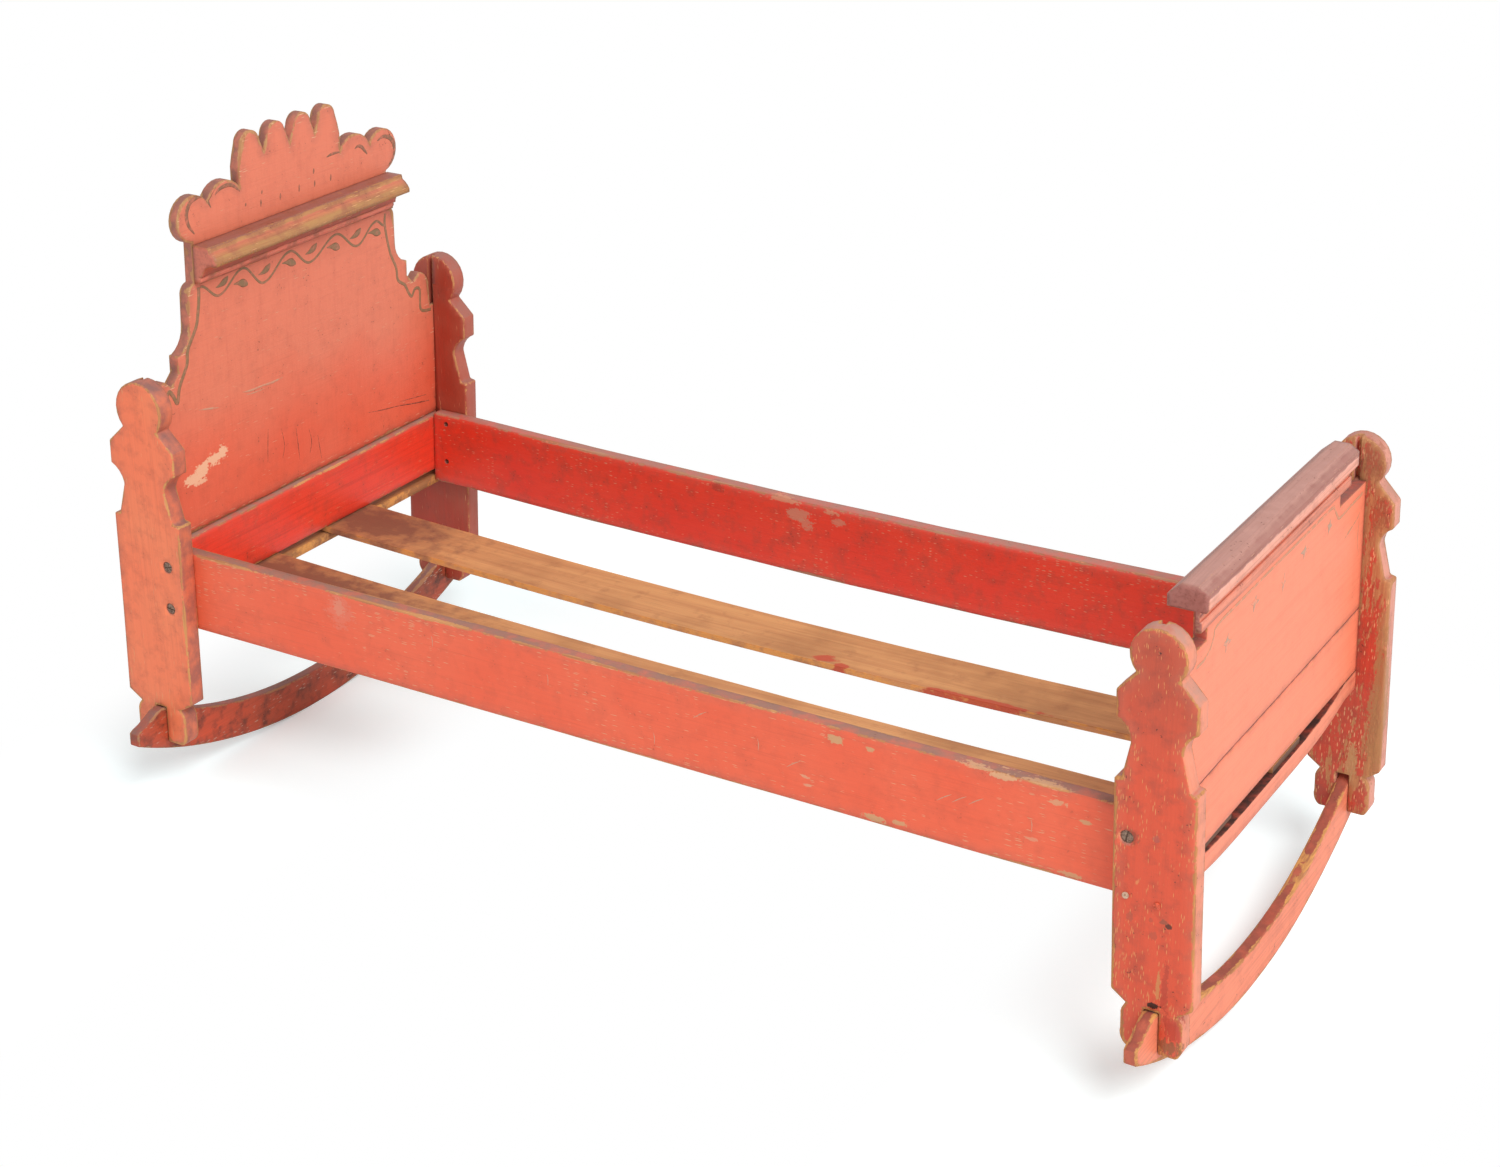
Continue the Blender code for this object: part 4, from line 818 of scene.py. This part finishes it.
def finish_tree(tree, inputs, shape):
    shape = add(tree, "GeometryNodeRealizeInstances", {"Geometry": shape})
    shape = add(tree, "GeometryNodeSetMaterial",
                {"Geometry": shape, "Material": inputs.outputs["Material"]})
    add(tree, "NodeGroupOutput", {"Result": shape})


def grown(name, start, tree, sizes):
    thing = bpy.data.objects.new(name, start)
    bpy.context.scene.collection.objects.link(thing)
    modifier = thing.modifiers.new("grow", "NODES")
    modifier.node_group = tree
    for item in tree.interface.items_tree:
        if item.in_out == "INPUT" and item.name in sizes:
            modifier[item.identifier] = sizes[item.name]
    bpy.context.view_layer.update()
    result = bpy.data.meshes.new_from_object(thing.evaluated_get(bpy.context.evaluated_depsgraph_get()))
    thing.modifiers.clear()
    thing.data = result
    print(name, len(result.polygons), "faces")
    return thing


FLOAT, MATERIAL = "NodeSocketFloat", "NodeSocketMaterial"
print("trees take", FLOAT, "and", MATERIAL)

# %% [markdown]
# ## The slats
# A slat is a thin sawn board that runs from the strip at the head to the one at the foot. Both
# slats are narrower at one end and lie askew, so a box won't do. The tree starts from a fine
# box of size one, and blends each point between the slat's four corners, which are read from
# the bare model. The slats have sagged with the years, so the tree also lowers their middles, in
# a parabola that stops at the two ends. The same hand then works them over as the other boards.

# %% The slat tree
SLAT_SIZES = ("Head End", "Foot End", "Head Near", "Head Far", "Foot Near", "Foot Far", "Head Height",
              "Foot Height", "Thickness", "Sag", "Bent Share")
tree, inputs = tree_of("slat", dict.fromkeys(SLAT_SIZES, FLOAT) | {"Material": MATERIAL})
box = add(tree, "GeometryNodeMeshCube", {"Size": (1, 1, 1), "Vertices X": 110, "Vertices Y": 9,
                                         "Vertices Z": 2})
unit = add(tree, "ShaderNodeVectorMath", {0: add(tree, "GeometryNodeInputPosition"), 1: (0.5, 0.5, 0.5)},
           operation="ADD")
unit = add(tree, "ShaderNodeSeparateXYZ", {0: unit})
ends, near, far, rest = [
    add(tree, "ShaderNodeMix",
        {0: unit.outputs[0], 2: inputs.outputs["Head " + label], 3: inputs.outputs["Foot " + label]})
    for label in ("End", "Near", "Far", "Height")]
side = add(tree, "ShaderNodeMix", {0: unit.outputs[1], 2: near, 3: far})
rest = add(tree, "ShaderNodeMath", {0: unit.outputs[2], 1: inputs.outputs["Thickness"], 2: rest},
           operation="MULTIPLY_ADD")
along = add(tree, "ShaderNodeMath", {0: unit.outputs[0], 1: 2.0, 2: -1.0}, operation="MULTIPLY_ADD")
along = add(tree, "ShaderNodeMath", {0: along, 1: inputs.outputs["Bent Share"]}, operation="DIVIDE")
along = add(tree, "ShaderNodeMath", {0: along, 1: 2.0}, operation="POWER")
along = add(tree, "ShaderNodeMath", {0: 1.0, 1: along}, operation="SUBTRACT", use_clamp=True)
drop = add(tree, "ShaderNodeMath", {0: along, 1: inputs.outputs["Sag"]}, operation="MULTIPLY")
rest = add(tree, "ShaderNodeMath", {0: rest, 1: drop}, operation="SUBTRACT")
placed = add(tree, "ShaderNodeCombineXYZ", {0: ends, 1: side, 2: rest})
finish_tree(tree, inputs, add(tree, "GeometryNodeSetPosition", {"Geometry": box, "Position": placed}))
slat_tree = tree
print("slat tree of", len(slat_tree.nodes), "nodes")

# %% Two slats
DRIPS = [((53.5, 15, 117), (7, 4.5, 20)), ((65, 11.2, 117), (6, 2.5, 20)), ((156, 10, 118), (34, 2.4, 20))]
STAINS = [((-300, 35, 120), (60, 26, 30)), ((-285, -66, 120), (110, 34, 30))]
slat_pine = old_bare_pine("bare_pine_aged_slats", "X", 21, pale="#D39963", brown="#BF8455", dark="#8A5834",
                          drips=DRIPS, stains=STAINS)
STRAIGHT_END, END_REACH, MIDDLE_REACH = 0.012, 0.002, 0.01
for name in ("slat_near", "slat_middle"):
    low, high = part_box(name)
    corners = [v.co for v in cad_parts[name].data.vertices]
    at_head = [c for c in corners if c.x < low[0] + END_REACH]
    at_foot = [c for c in corners if c.x > high[0] - END_REACH]
    middle_low = min(c.z for c in corners if abs(c.x) < MIDDLE_REACH)
    head_low, foot_low = min(c.z for c in at_head), min(c.z for c in at_foot)
    sag = (head_low + foot_low) / 2 - middle_low
    slat = grown("grown_" + name, bpy.data.meshes.new(name + "_start"), slat_tree, {
        "Head End": low[0], "Foot End": high[0],
        "Head Near": min(c.y for c in at_head), "Head Far": max(c.y for c in at_head),
        "Foot Near": min(c.y for c in at_foot), "Foot Far": max(c.y for c in at_foot),
        "Head Height": head_low, "Foot Height": foot_low, "Thickness": max(c.z for c in at_head) - head_low,
        "Sag": sag, "Bent Share": 1 - STRAIGHT_END / high[0], "Material": slat_pine})
    print(name, "sags", round(1000 * sag, 1), "mm")
    shape = bmesh.new()
    shape.from_mesh(slat.data)
    bpy.data.objects.remove(slat)
    bmesh.ops.remove_doubles(shape, verts=shape.verts, dist=SAME_POINT)
    hand_cut(name, slat_pine, shape=shape, rounding=0.0004, cell=0.007)

# %% [markdown]
# ## Screws and nails
# Two iron screws hold each rail to its head post. At the foot one screw and one nail hold it, and
# a second nail holds the end of the bearer. The screws are turned and hand-filed, with a slightly
# domed head and one slot. The tree makes one head, cuts the slot with a Boolean, adds the shank,
# and puts a copy at each place, turned by a random angle. The nails use the same tree without a
# slot. Rust has made the screws brown and rough, with a little bare metal between the crusts. The
# nails of the rails were rubbed pale, and the bearer's nails lie under the paint.

# %% Rusty iron
RUST_SPOTS = 900.0  # per metre


def nail_iron(name, bright, brown, metallic):
    material, tree = empty_material(name)
    spot = add(tree, "ShaderNodeTexCoord").outputs["Object"]
    scale_spots = add(tree, "ShaderNodeTexNoise", {"Vector": spot, "Scale": RUST_SPOTS, "Detail": 3.0})
    crust = add(tree, "ShaderNodeMapRange", {0: scale_spots, 1: 0.40, 2: 0.62})
    colour = add(tree, "ShaderNodeMix", {0: crust, 6: hex_colour(bright), 7: hex_colour(brown)},
                 data_type="RGBA").outputs[2]
    metal = add(tree, "ShaderNodeMapRange", {0: crust, 3: metallic, 4: 0.0})
    worn = add(tree, "ShaderNodeMapRange", {0: crust, 3: 0.45, 4: 0.85})
    bump = add(tree, "ShaderNodeBump", {"Height": scale_spots, "Strength": 0.5, "Distance": 0.0002})
    surface = add(tree, "ShaderNodeBsdfPrincipled",
                  {"Base Color": colour, "Metallic": metal, "Roughness": worn, "Normal": bump})
    add(tree, "ShaderNodeOutputMaterial", {"Surface": surface})
    return material


rust = nail_iron("rusty_wrought_iron", "#937A69", "#5C4335", 0.5)
rubbed_iron = nail_iron("iron_rubbed_grey", "#D0B096", "#A07A60", 0.2)
painted_iron = nail_iron("iron_under_old_red_paint", "#DE5A3A", "#B4482F", 0.0)
print("rust spots of about", round(1000 / RUST_SPOTS, 1), "mm")

# %% The fastener tree
FASTENER_SIZES = ("Head Radius", "Head Depth", "Dome", "Slot Width", "Slot Depth", "Shank Radius", "Length")
POINT_RADIUS = 0.0002
tree, inputs = tree_of("fastener", dict.fromkeys(FASTENER_SIZES, FLOAT) | {"Material": MATERIAL})
size = {label: inputs.outputs[label] for label in FASTENER_SIZES}
disc = add(tree, "GeometryNodeMeshCylinder",
           {"Vertices": 28, "Fill Segments": 4, "Radius": size["Head Radius"], "Depth": size["Head Depth"]})
half = add(tree, "ShaderNodeMath", {0: size["Head Depth"], 1: -0.5}, operation="MULTIPLY")
half = add(tree, "ShaderNodeCombineXYZ", {2: half})
disc = add(tree, "GeometryNodeTransform", {"Geometry": disc, "Translation": half})
point = add(tree, "GeometryNodeInputPosition")
spread = add(tree, "ShaderNodeVectorMath", {0: point, 1: (1, 1, 0)}, operation="MULTIPLY")
spread = add(tree, "ShaderNodeVectorMath", {0: spread}, operation="LENGTH").outputs["Value"]
spread = add(tree, "ShaderNodeMath", {0: spread, 1: size["Head Radius"]}, operation="DIVIDE")
sag = add(tree, "ShaderNodeMath", {0: spread, 1: 2.0}, operation="POWER")
sag = add(tree, "ShaderNodeMath", {0: sag, 1: size["Dome"]}, operation="MULTIPLY")
sag = add(tree, "ShaderNodeMath", {0: sag, 1: -1.0}, operation="MULTIPLY")
sag = add(tree, "ShaderNodeCombineXYZ", {2: sag})
disc = add(tree, "GeometryNodeSetPosition", {"Geometry": disc, "Offset": sag})
slot_length = add(tree, "ShaderNodeMath", {0: size["Head Radius"], 1: 3.0}, operation="MULTIPLY")
slot_height = add(tree, "ShaderNodeMath", {0: size["Slot Depth"], 1: 2.0}, operation="MULTIPLY")
slot = add(tree, "ShaderNodeCombineXYZ", {0: slot_length, 1: size["Slot Width"], 2: slot_height})
slot = add(tree, "GeometryNodeMeshCube", {"Size": slot})
headed = add(tree, "GeometryNodeMeshBoolean", operation="DIFFERENCE")
tree.links.new(disc.outputs[0], headed.inputs["Mesh 1"])
tree.links.new(slot.outputs[0], headed.inputs["Mesh 2"])
shank = add(tree, "GeometryNodeMeshCone",
            {"Vertices": 14, "Radius Top": POINT_RADIUS, "Radius Bottom": size["Shank Radius"],
             "Depth": size["Length"]})
under = add(tree, "ShaderNodeMath", {0: size["Head Depth"], 1: -1.0}, operation="MULTIPLY")
under = add(tree, "ShaderNodeCombineXYZ", {2: under})
shank = add(tree, "GeometryNodeTransform",
            {"Geometry": shank, "Rotation": (math.pi, 0, 0), "Translation": under})
whole = add(tree, "GeometryNodeJoinGeometry")
tree.links.new(shank.outputs[0], whole.inputs[0])
tree.links.new(headed.outputs[0], whole.inputs[0])
outward = add(tree, "GeometryNodeInputNamedAttribute", {"Name": "outward"}, data_type="FLOAT_VECTOR")
turn = add(tree, "FunctionNodeAlignRotationToVector", {"Vector": outward}, axis="Z")
spin = add(tree, "FunctionNodeRandomValue", {"Seed": 7}, data_type="FLOAT")
spin = add(tree, "ShaderNodeMath", {0: spin.outputs[1], 1: math.pi}, operation="MULTIPLY")
spin = add(tree, "FunctionNodeAxisAngleToRotation", {"Axis": (0, 0, 1), "Angle": spin})
turn = add(tree, "FunctionNodeRotateRotation", {"Rotation": turn, "Rotate By": spin},
           rotation_space="LOCAL")
copies = add(tree, "GeometryNodeInstanceOnPoints", {"Points": inputs.outputs["Start"], "Instance": whole,
                                                    "Rotation": turn})
finish_tree(tree, inputs, copies)
fastener_tree = tree
print("fastener tree of", len(fastener_tree.nodes), "nodes")

# %% Ten fasteners
SCREW = {"Head Radius": 0.0034, "Head Depth": 0.0016, "Dome": 0.0006, "Slot Width": 0.0009,
         "Slot Depth": 0.0009, "Shank Radius": 0.0015, "Length": 0.019}
NAIL = {"Head Radius": 0.0018, "Head Depth": 0.0006, "Dome": 0.0003, "Slot Width": 0.0, "Slot Depth": 0.0,
        "Shank Radius": 0.0008, "Length": 0.015}
for kind, sizes, finish in (("screw", SCREW, rust), ("rail_nail", NAIL, rubbed_iron),
                            ("bearer_nail", NAIL, painted_iron)):
    names = [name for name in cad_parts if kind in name]
    seats = bpy.data.meshes.new(kind + "_seats")
    places, outwards = [], []
    for name in names:
        low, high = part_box(name)
        side = -1 if low[1] < 0 else 1
        face = low[1] if side < 0 else high[1]
        places.append(((low[0] + high[0]) / 2, face, (low[2] + high[2]) / 2))
        outwards += [0.0, side, 0.0]
    seats.from_pydata(places, [], [])
    seats.attributes.new("outward", "FLOAT_VECTOR", "POINT").data.foreach_set("vector", outwards)
    iron = grown("iron_" + kind + "s", seats, fastener_tree, sizes | {"Material": finish})
    iron.data.set_sharp_from_angle(angle=SHARP)
    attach(iron, "root")
    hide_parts(*names)
    print(len(names), kind + "s")

# %% [markdown]
# ## Brush strokes
# The maker lined the headboard and the footboard with olive-brown paint: a waving vine with
# leaves under the moulding, scrolls on the crest, and a line that follows each outline. A brush
# stroke is a path with a pressure that changes on the way, so that is how it is made: a row of
# points with a width at each. The tree smooths the path, sweeps a flat ellipse along it, and
# gives it its paint. Each stroke is then laid on the worked board, and stands 0.04 mm proud of it.

# %% The stroke tree
tree, inputs = tree_of("brush_stroke", {"Smoothness": "NodeSocketInt", "Flatness": FLOAT,
                                        "Material": MATERIAL})
path = add(tree, "GeometryNodeMeshToCurve", {"Mesh": inputs.outputs["Start"]})
path = add(tree, "GeometryNodeCurveSplineType", {"Curve": path}, spline_type="CATMULL_ROM")
path = add(tree, "GeometryNodeSetSplineResolution",
           {"Geometry": path, "Resolution": inputs.outputs["Smoothness"]})
path = add(tree, "GeometryNodeSetCurveNormal", {"Curve": path}, mode="Z_UP")
pressure = add(tree, "GeometryNodeInputNamedAttribute", {"Name": "brush_width"}, data_type="FLOAT")
hairs = add(tree, "GeometryNodeCurvePrimitiveCircle", {"Resolution": 8, "Radius": 0.5})
squash = add(tree, "ShaderNodeCombineXYZ", {0: 1.0, 1: inputs.outputs["Flatness"], 2: 1.0})
hairs = add(tree, "GeometryNodeTransform", {"Geometry": hairs, "Scale": squash})
swept = {"Curve": path, "Profile Curve": hairs, "Scale": pressure, "Fill Caps": True}
finish_tree(tree, inputs, add(tree, "GeometryNodeCurveToMesh", swept))
stroke_tree = tree
print("stroke tree of", len(stroke_tree.nodes), "nodes")

# %% Paint for the lines, and laying them on a board
def line_paint(name, colour, rubbed, share, scale=380.0):
    material, tree = empty_material(name)
    spot = add(tree, "ShaderNodeTexCoord").outputs["Object"]
    worn = add(tree, "ShaderNodeTexNoise", {"Vector": spot, "Scale": scale, "Detail": 3.0})
    shade = coat(tree, colour, rubbed, worn, 0.60 - 0.25 * share, 0.85 - 0.25 * share)
    surface = add(tree, "ShaderNodeBsdfPrincipled",
                  {"Base Color": shade, "Roughness": 0.55, "IOR": OIL_AND_WOOD_IOR})
    add(tree, "ShaderNodeOutputMaterial", {"Surface": surface})
    return material


SKIN = 0.00004
SMOOTHNESS, FLATNESS = 8, 0.06
IN_FRONT = 0.4


def paint_strokes(name, strokes, board, material, plane="YZ"):
    """Strokes are rows of (across, up, width) in millimetres, on the +X or the -Y face of a board."""
    points, edges, widths = [], [], []
    for stroke in strokes:
        first = len(points)
        points += [(a / 1000, b / 1000, 0) for a, b, w in stroke]
        widths += [w / 1000 for a, b, w in stroke]
        edges += [(i, i + 1) for i in range(first, len(points) - 1)]
    rows = bpy.data.meshes.new(name + "_rows")
    rows.from_pydata(points, edges, [])
    rows.attributes.new("brush_width", "FLOAT", "POINT").data.foreach_set("value", widths)
    paint = grown(name, rows, stroke_tree,
                  {"Smoothness": SMOOTHNESS, "Flatness": FLATNESS, "Material": material})
    face = surface_of(board.data)
    out = Vector((1, 0, 0)) if plane == "YZ" else Vector((0, -1, 0))
    for vert in paint.data.vertices:
        across, up, lift = vert.co
        start = Vector((0, across, up)) if plane == "YZ" else Vector((across, 0, up))
        hit = face.ray_cast(start + out, -out)[0] or face.find_nearest(start + out * IN_FRONT)[0]
        vert.co = hit + out * (SKIN + max(lift, -SKIN))
    paint.data.update()
    paint.data.polygons.foreach_set("use_smooth", [True] * len(paint.data.polygons))
    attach(paint, "root")


print("strokes lie", SKIN * 1000, "mm proud")

# %% [markdown]
# ## The vine
# The stem dips four times between one outline and the other. A leaf grows from each hollow,
# slender and slanting up, and a fat drop hangs under each crest. So the stem is one row of crests
# and hollows, and one leaf and one drop are drawn once each and stamped at measured places.

# %% Stem, leaves and outlines on the headboard
TURNS = [(-87.0, 314.6), (-71.2, 304.8), (-49.2, 315.7), (-30.7, 301.4), (-5.4, 314.5), (12.8, 302.4),
         (39.0, 313.6), (59.6, 300.6), (79.1, 311.7), (88.0, 306.8)]
STEPS = 6
HOLLOWS = [(-67.0, 311.5), (-28.6, 308.7), (15.5, 309.8), (59.0, 308.3)]
CRESTS = [(-50.5, 306.9), (-5.8, 307.7), (36.9, 306.3), (78.0, 304.9)]
STEM_WIDTH = 1.6
LEAF = [(-6.6, -1.2, 0.4), (-2.9, -0.8, 2.4), (0.5, 0.2, 4.2), (2.8, 1.4, 3.6), (4.6, 3.0, 0.9)]
DROP = [(-7.2, 1.0, 0.6), (-3.4, 0.6, 2.2), (0.3, -0.2, 5.0), (3.0, -1.4, 4.4), (5.4, -2.6, 1.2)]


def stamped(shape, places, wide=1, tall=1):
    """One stroke at each place, stretched to so many times its width and height."""
    return [[(a + wide * x, b + tall * y, pressed) for x, y, pressed in shape] for a, b in places]


stem = []
for (a, b), (c, d) in zip(TURNS, TURNS[1:]):
    for i in range(STEPS):
        ease = (1 - math.cos(math.pi * i / STEPS)) / 2
        stem.append((a + (c - a) * i / STEPS, b + (d - b) * ease, STEM_WIDTH))
vine = [stem + [(*TURNS[-1], STEM_WIDTH)]] + stamped(LEAF, HOLLOWS) + stamped(DROP, CRESTS)
LEFT_LINE = [(-88.4, 314.8), (-88.7, 308.5), (-89.9, 301.0), (-92.7, 291.1), (-100.9, 279.1),
             (-102.6, 270.1), (-110.0, 258.0), (-112.6, 249.0), (-116.0, 254.5), (-119.3, 258.0),
             (-122.3, 253.0), (-125.2, 247.5)]
RIGHT_LINE = [(88.9, 314.4), (87.9, 308.6), (89.6, 298.0), (92.9, 286.1), (98.2, 275.2), (99.8, 266.2),
              (106.8, 260.7), (110.5, 254.4), (113.8, 251.0), (117.4, 255.0), (122.4, 252.8),
              (123.2, 239.0), (134.0, 236.0)]
for line, thick in ((LEFT_LINE, 2.6), (RIGHT_LINE, 2.1)):
    vine.append([(a, b, thick) for a, b in line])
olive = line_paint("olive_brown_oil_paint_lines", "#8C6E4E", "#B5745A", 0.45)
paint_strokes("painted_vine_and_outlines", vine, headboard, olive)

# %% Scrolls and ticks on the crest
SCROLLS = [[(83.4, 363.7, 0.6), (88.5, 365.2, 1.3), (94.0, 364.0, 1.9), (98.6, 360.5, 2.2),
            (100.8, 355.0, 2.2), (99.4, 349.6, 1.7), (94.2, 345.4, 0.6)],
           [(60.8, 363.8, 0.5), (64.0, 365.0, 1.2), (67.5, 363.6, 1.6), (70.6, 360.4, 1.3),
            (72.8, 357.7, 0.5)],
           [(33.5, 365.1, 0.5), (39.0, 365.9, 1.3), (46.1, 365.3, 0.5)],
           [(-74.4, 366.3, 0.6), (-79.4, 368.6, 1.3), (-85.0, 369.0, 1.8), (-90.8, 367.0, 2.0),
            (-94.3, 361.0, 2.0), (-93.2, 354.0, 1.6), (-88.7, 347.8, 0.6)],
           [(-69.2, 366.5, 0.6), (-65.6, 368.8, 1.3), (-60.0, 369.9, 1.7), (-54.0, 368.8, 1.5),
            (-47.4, 363.5, 0.6)],
           [(-75.7, 366.7, 0.5), (-75.0, 363.4, 1.0), (-73.3, 359.9, 0.4)]]
TICKS = [(-29.4, 351.5, 5.0), (-11.5, 351.1, 4.6), (6.3, 352.0, 5.2), (21.0, 351.2, 4.4),
         (36.5, 351.3, 4.6), (20.6, 359.3, 3.6), (-28.0, 358.0, 2.6), (-43.0, 354.0, 2.4)]
TICK = [(0.2, 0.45, 0.5), (0, 0, 1.4), (-0.3, -0.45, 0.5)]
SCROLL_PRESSURE = 1.45
rubbed_olive = line_paint("rubbed_olive_oil_paint", "#8A6048", "#C4705A", 0.6)
strokes = [[(a, b, SCROLL_PRESSURE * wide) for a, b, wide in scroll] for scroll in SCROLLS]
for a, b, tall in TICKS:
    strokes += stamped(TICK, [(a, b)], tall=tall)
paint_strokes("painted_scrolls_on_crest", strokes, headboard, rubbed_olive)

# %% [markdown]
# ## The footboard's line, and scratches
# On the footboard the same line runs under the lip, over both shoulders, and only ghosts of the
# leaves are left. The scratches in the headboard and the rail are strokes too, in the colour of
# what shows through them: pale ground, or dirt in a crack.

# %% Footboard strokes
FOOT_LINE_WIDTH = 2.0
FOOT_LINE = [(-112.0, 234.4), (-101.5, 234.6), (-94.0, 237.2), (-89.6, 242.0), (-84.0, 246.6),
             (-41.7, 247.2), (0.4, 247.4), (40.0, 247.6), (78.0, 247.8), (83.5, 246.4), (87.5, 241.5),
             (93.0, 237.4), (110.0, 238.0), (129.8, 238.5)]
strokes = [[(a, b, FOOT_LINE_WIDTH) for a, b in FOOT_LINE],
           [(127.0, 229.0, 0.3), (124.0, 226.4, 1.1), (116.0, 224.4, 1.2), (108.0, 222.6, 2.0),
            (102.4, 221.4, 0.5)],
           [(126.8, 226.0, 0.3), (125.6, 218.0, 0.9), (125.6, 211.0, 0.8), (128.2, 203.1, 0.3)]]
faint_olive = line_paint("faint_olive_line_on_apricot", "#C48868", "#EC8A6A", 0.55)
paint_strokes("painted_line_on_footboard", strokes, footboard, faint_olive)
DABS = [(76.8, 238.2, 3.4, 7.0), (38.3, 238.0, 5.5, 6.0), (7.8, 232.4, 3.0, 9.0), (-33.9, 237.4, 5.0, 6.0),
        (-71.8, 231.0, 5.5, 7.5), (-101.0, 207.0, 3.2, 4.5)]
UPRIGHT = [(1.6, 0.7, 0.6), (0.5, 0.2, 3.6), (-0.6, -0.2, 3.2), (-1.8, -0.7, 0.6)]
ACROSS = [(-1.1, 1.6, 0.5), (-0.3, 0.8, 2.8), (0.5, 0, 2.6), (1.2, -0.4, 0.5)]
ghost = line_paint("ghost_of_olive_paint", "#B48E76", "#EC8A6A", 0.8, 300.0)
marks = []
for a, b, wide, tall in DABS:
    marks += stamped(UPRIGHT, [(a, b)], tall=tall) + stamped(ACROSS, [(a, b)], wide=wide)
paint_strokes("ghost_leaves_on_footboard", marks, footboard, ghost)

# %% Scratches
pale = line_paint("scratch_to_the_ground", "#C9967A", "#D97A60", 0.6, 700.0)
SCRATCHES = [[(-55.4, 237.5, 0.3), (-48.0, 236.2, 1.6), (-38.0, 236.0, 1.1), (-28.0, 235.2, 1.7),
              (-18.0, 235.5, 0.3)],
             [(-52.0, 234.6, 0.3), (-44.0, 233.8, 0.9), (-35.0, 233.4, 0.3)],
             [(-95.0, 238.6, 0.3), (-86.0, 236.6, 1.3), (-77.1, 234.4, 0.3)]]
paint_strokes("scratches_on_headboard", SCRATCHES, headboard, pale)
CRACKS = [[(63.8, 184.2, 0.2), (80.0, 181.0, 0.7), (95.3, 178.6, 0.5), (112.0, 175.0, 0.9),
           (129.0, 171.8, 0.6)],
          [(98.0, 181.0, 0.2), (112.0, 179.0, 0.6), (126.0, 177.0, 0.3)],
          [(-34.6, 206.0, 0.2), (-35.6, 196.0, 0.5), (-36.5, 184.0, 0.2)],
          [(-8.3, 198.0, 0.2), (-7.0, 186.0, 0.6), (-6.1, 175.4, 0.2)],
          [(4.1, 193.0, 0.2), (6.2, 184.0, 0.5), (4.0, 176.0, 0.2)],
          [(12.4, 186.0, 0.2), (14.0, 176.0, 0.5), (15.3, 168.0, 0.2)],
          [(-22.0, 201.0, 0.2), (-20.0, 190.0, 0.4), (-22.4, 182.0, 0.2)]]
crack_dirt = line_paint("dirt_in_cracks", "#6E3A2A", "#C4624C", 0.8, 500.0)
paint_strokes("cracks_on_headboard", CRACKS, headboard, crack_dirt)

# %% Nicks in the near rail
SLANTED = [(-4.0, -3.0, 0.2), (0, 0, 0.6), (4.2, 2.6, 0.2)]
STEEP = [(0, 3, 0.2), (0.6, 0, 0.5), (0.4, -4, 0.2)]
nicks = stamped(SLANTED, [(207, 141.1), (215.5, 142.3), (225.1, 143.9), (118, 136), (60, 150)])
nicks += stamped(STEEP, [(-120, 150), (-40, 146), (96, 142), (256, 139), (30, 128)])
paint_strokes("nicks_in_near_rail", nicks, near_rail, pale, plane="XZ")

# %% [markdown]
# ## Before the camera is opened
# The rules of this lesson ask for the size of the dressed bed beside that of the bare one.

# %% Measure the sizes of the bare and the dressed bed
dressed_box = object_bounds()
sizes = {"cad": [list(corner) for corner in bare_box], "visual": [list(corner) for corner in dressed_box]}
print("dressed box", dressed_box)
